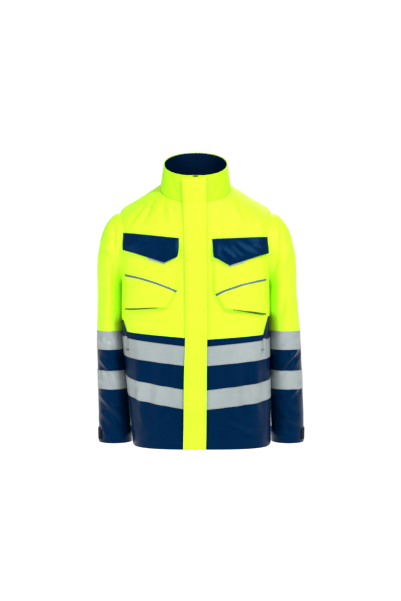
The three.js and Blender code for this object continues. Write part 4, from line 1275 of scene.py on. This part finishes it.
# %% Welts and bartacks
def wedge_line(z, name):
    """x of the wedge's front edge, which leans outwards as it rises from the yoke's corner."""
    foot_x, foot_z, tip_x, tip_z = WEDGE[name]
    return foot_x - 3 + np.where(z < foot_z, -3.0 * (foot_z - z) / 60,
        (tip_x - foot_x) * (z - foot_z) / (tip_z - foot_z))


for name, side in SIDES:
    band_top, tip_z = BANDS["upper"][1 if side > 0 else 2] - 0.5, WEDGE[name][3]
    for part, low_z, high_z, material, label in (("welt_low", 250.0, band_top, silver, "reflective_tape"),
        ("welt_high", band_top, tip_z - 6, navy, "navy_shell")):
        def place(u, v, name=name, side=side, low_z=low_z, high_z=high_z):
            a = u if side > 0 else 1 - u
            z = low_z + (high_z - low_z) * v
            roll = 0.45 * np.sin(math.pi * np.clip(a, 0, 1))
            return front_at(side * (wedge_line(z, name) - 3 + 7 * a), z, 2.1 + roll)

        strip = lay(f"{name}_{part}", np.linspace(0, 1, 9), np.linspace(0, 1, 30), place, material, 0.9,
            measure=(9.0, 94.0))
        settle(strip, "jacket_body", label, f"{name}_hand_pocket_welt")
    zz = np.linspace(238, 328, 70)
    for shift in (-6.5, 7.5):
        stitch(front_at(side * (wedge_line(zz, name) + shift), zz, 2.6), "jacket_body", "dark")
    zz = np.linspace(256, 292, 30)
    stitch(front_at(side * (wedge_line(zz, name) - 1.5), zz, 3.0), "jacket_body", "dark")
    for k in range(6):
        xx = np.linspace(-7, 1.5, 8)
        stitch(front_at(side * (wedge_line(256.0, name) + xx), np.full_like(xx, 255 + 0.5 * k), 2.9),
            "jacket_body", "dark")
print("dark runs:", len(runs[("jacket_body", "dark")]))

# %% [markdown]
# ## Hanger loop
#
# A short strip of lining tape is folded into a loop inside the back of the neck, so that the jacket can hang on
# a peg. It is a bent strip with soft corners.

# %% The loop
low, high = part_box("hanger_loop")
half, drop = high.x, high.z - low.z
path = [(-half + 0.0008, -drop), (-half + 0.0008, -0.004), (-half + 0.004, -0.0008),
    (half - 0.004, -0.0008), (half - 0.0008, -0.004), (half - 0.0008, -drop)]
bm = bmesh.new()
verts = [bm.verts.new((x, low.y, high.z + z)) for x, z in path]
edges = [bm.edges.new(pair) for pair in zip(verts, verts[1:])]
bmesh.ops.extrude_edge_only(bm, edges=edges)
for vert in bm.verts:
    if vert not in verts:
        vert.co.y = high.y
bmesh.ops.recalc_face_normals(bm, faces=bm.faces)
mesh = bpy.data.meshes.new("hanger_loop_tape")
bm.to_mesh(mesh)
bm.free()
loop = new_object("hanger_loop_tape", mesh, lining)
solid = loop.modifiers.new("thickness", "SOLIDIFY")
solid.thickness, solid.offset = 0.0014, 0
bevel = loop.modifiers.new("soft", "BEVEL")
bevel.width, bevel.segments = 0.0005, 2
bake(loop, 40)
settle(loop, "jacket_body", "lining", "hanger_loop")

# %% [markdown]
# ## Sewing
#
# Now that every run is known, the stitches are made: one small ball for each, stretched along its run.

# %% Make the stitches
threads = {"yellow": (thread_yellow, "yellow_shell"), "navy": (thread_navy, "navy_shell"),
    "grey": (thread_grey, "reflective_tape"), "dark": (thread_dark, "navy_shell")}
total = 0
for (body, thread), made in runs.items():
    bm = bmesh.new()
    for a, b in made:
        for p, q in zip(to_frame(a), to_frame(b)):
            p, q = Vector(p), Vector(q)
            turn = (q - p).to_track_quat("Z", "Y").to_matrix().to_4x4()
            size = Matrix.Diagonal((THREAD / 1000, THREAD / 1000, (q - p).length / 2, 1))
            bmesh.ops.create_icosphere(bm, subdivisions=1, radius=1,
                matrix=Matrix.Translation((p + q) / 2) @ turn @ size)
            total += 1
    mesh = bpy.data.meshes.new(f"stitches_{body}_{thread}")
    bm.to_mesh(mesh)
    bm.free()
    mesh.shade_smooth()
    material, slot = threads[thread]
    settle(new_object(mesh.name, mesh, material), body, slot)
print("stitches:", total)

# %% [markdown]
# ## Room, light and camera
#
# The jacket is shown on nothing but white. A wide pale floor lies well below it, broad soft lamps light it from
# the front and above, and white surroundings fill the shadows. The camera stands level with the chest, a
# little above the jacket's middle, and looks straight at the front.

# %% Floor
bm = bmesh.new()
bmesh.ops.create_grid(bm, x_segments=4, y_segments=4, size=14)
bmesh.ops.translate(bm, verts=bm.verts, vec=(0, 0, cad_box[0][2] - 0.6))
mesh = bpy.data.meshes.new("floor")
bm.to_mesh(mesh)
bm.free()
pale = bpy.data.materials.new("pale_floor")
pale.use_nodes = True
pale.node_tree.nodes["Principled BSDF"].inputs["Base Color"].default_value = (0.9, 0.9, 0.9, 1)
pale.node_tree.nodes["Principled BSDF"].inputs["Roughness"].default_value = 0.9
pale.node_tree.nodes["Principled BSDF"].inputs["Emission Color"].default_value = (1, 1, 1, 1)
pale.node_tree.nodes["Principled BSDF"].inputs["Emission Strength"].default_value = 0.7
floor = new_object("floor", mesh, pale)

# %% Lamps and surroundings
world = bpy.data.worlds.new("white")
bpy.context.scene.world = world
world.use_nodes = True
sky = world.node_tree.nodes["Background"]
sky.inputs["Color"].default_value = (1, 1, 1, 1)
# The room is seen as white, but gives only part of the light, so that the lamps can model the folds.
seen = world.node_tree.nodes.new("ShaderNodeLightPath")
strength = world.node_tree.nodes.new("ShaderNodeMapRange")
strength.inputs["To Min"].default_value, strength.inputs["To Max"].default_value = 0.36, 1.05
world.node_tree.links.new(seen.outputs["Is Camera Ray"], strength.inputs["Value"])
world.node_tree.links.new(strength.outputs["Result"], sky.inputs["Strength"])
middle = Vector([(a + b) / 2 for a, b in zip(*cad_box)])


def lamp(name, place, size, power):
    light = bpy.data.lights.new(name, "AREA")
    light.shape, light.size, light.energy = "DISK", size, power
    obj = bpy.data.objects.new(name, light)
    bpy.context.scene.collection.objects.link(obj)
    obj.location = middle + Vector(place)
    obj.rotation_euler = (-Vector(place)).to_track_quat("-Z", "Y").to_euler()


lamp("key", (1.3, -1.9, 1.9), 0.8, 74)
lamp("fill", (-1.9, -1.9, 0.9), 1.0, 28)
lamp("back", (0.4, 2.4, 1.6), 1.6, 40)

# %% Camera
camera = bpy.data.objects.new("camera", bpy.data.cameras.new("camera"))
bpy.context.scene.collection.objects.link(camera)
bpy.context.scene.camera = camera
camera.data.sensor_width = 36
camera.data.lens = 57
distance, rise = 2.6, math.radians(1.6)
aim = middle + Vector((0.0, 0, -0.013))
camera.location = aim + Vector((0, -distance * math.cos(rise), distance * math.sin(rise)))
camera.rotation_euler = (aim - camera.location).to_track_quat("-Z", "Y").to_euler()
bpy.context.scene.view_settings.view_transform = "Standard"
print("camera at", [round(v, 3) for v in camera.location])

# %% [markdown]
# The flat size and area of each larger piece of cloth are printed.

# %% Cloth sizes
def half_area(obj):
    return sum(face.area for face in obj.data.polygons) / 2


SHEETS = [("storm_flap_cloth", "laid", ["storm_flap"])]
for name, side in SIDES:
    SHEETS += [
        (f"{name}_chest_flap_cloth", "laid", [f"{name}_chest_pocket"]),
        (f"{name}_cuff_tab_cloth", "laid", [f"{name}_cuff"]),
        (f"{name}_chest_pocket_bag", "laid", [f"{name}_front_yoke"]),
        (f"{name}_front_yoke_cloth", "hung", [f"{name}_front_lining"]),
        (f"{name}_front_skirt_cloth", "hung", [f"{name}_front_yoke"]),
        (f"{name}_side_panel_cloth", "hung", [f"{name}_front_yoke"]),
        (f"{name}_sleeve_upper_cloth", "hung", [f"{name}_sleeve_lining"]),
        (f"{name}_sleeve_lower_cloth", "hung", [f"{name}_sleeve_upper"]),
    ]
SHEETS += [("back_yoke_cloth", "hung", ["back_lining"]), ("back_skirt_cloth", "hung", ["back_yoke"])]
for title, held, rests_on in SHEETS:
    piece = bpy.data.objects[title]
    wide, long = CUT[title]
    area = half_area(piece)
    if area > wide * long:
        wide, long = wide * 1.002, area / wide
    print(f"{title}: {wide:.3f} x {long:.3f} m, {area:.4f} m2")
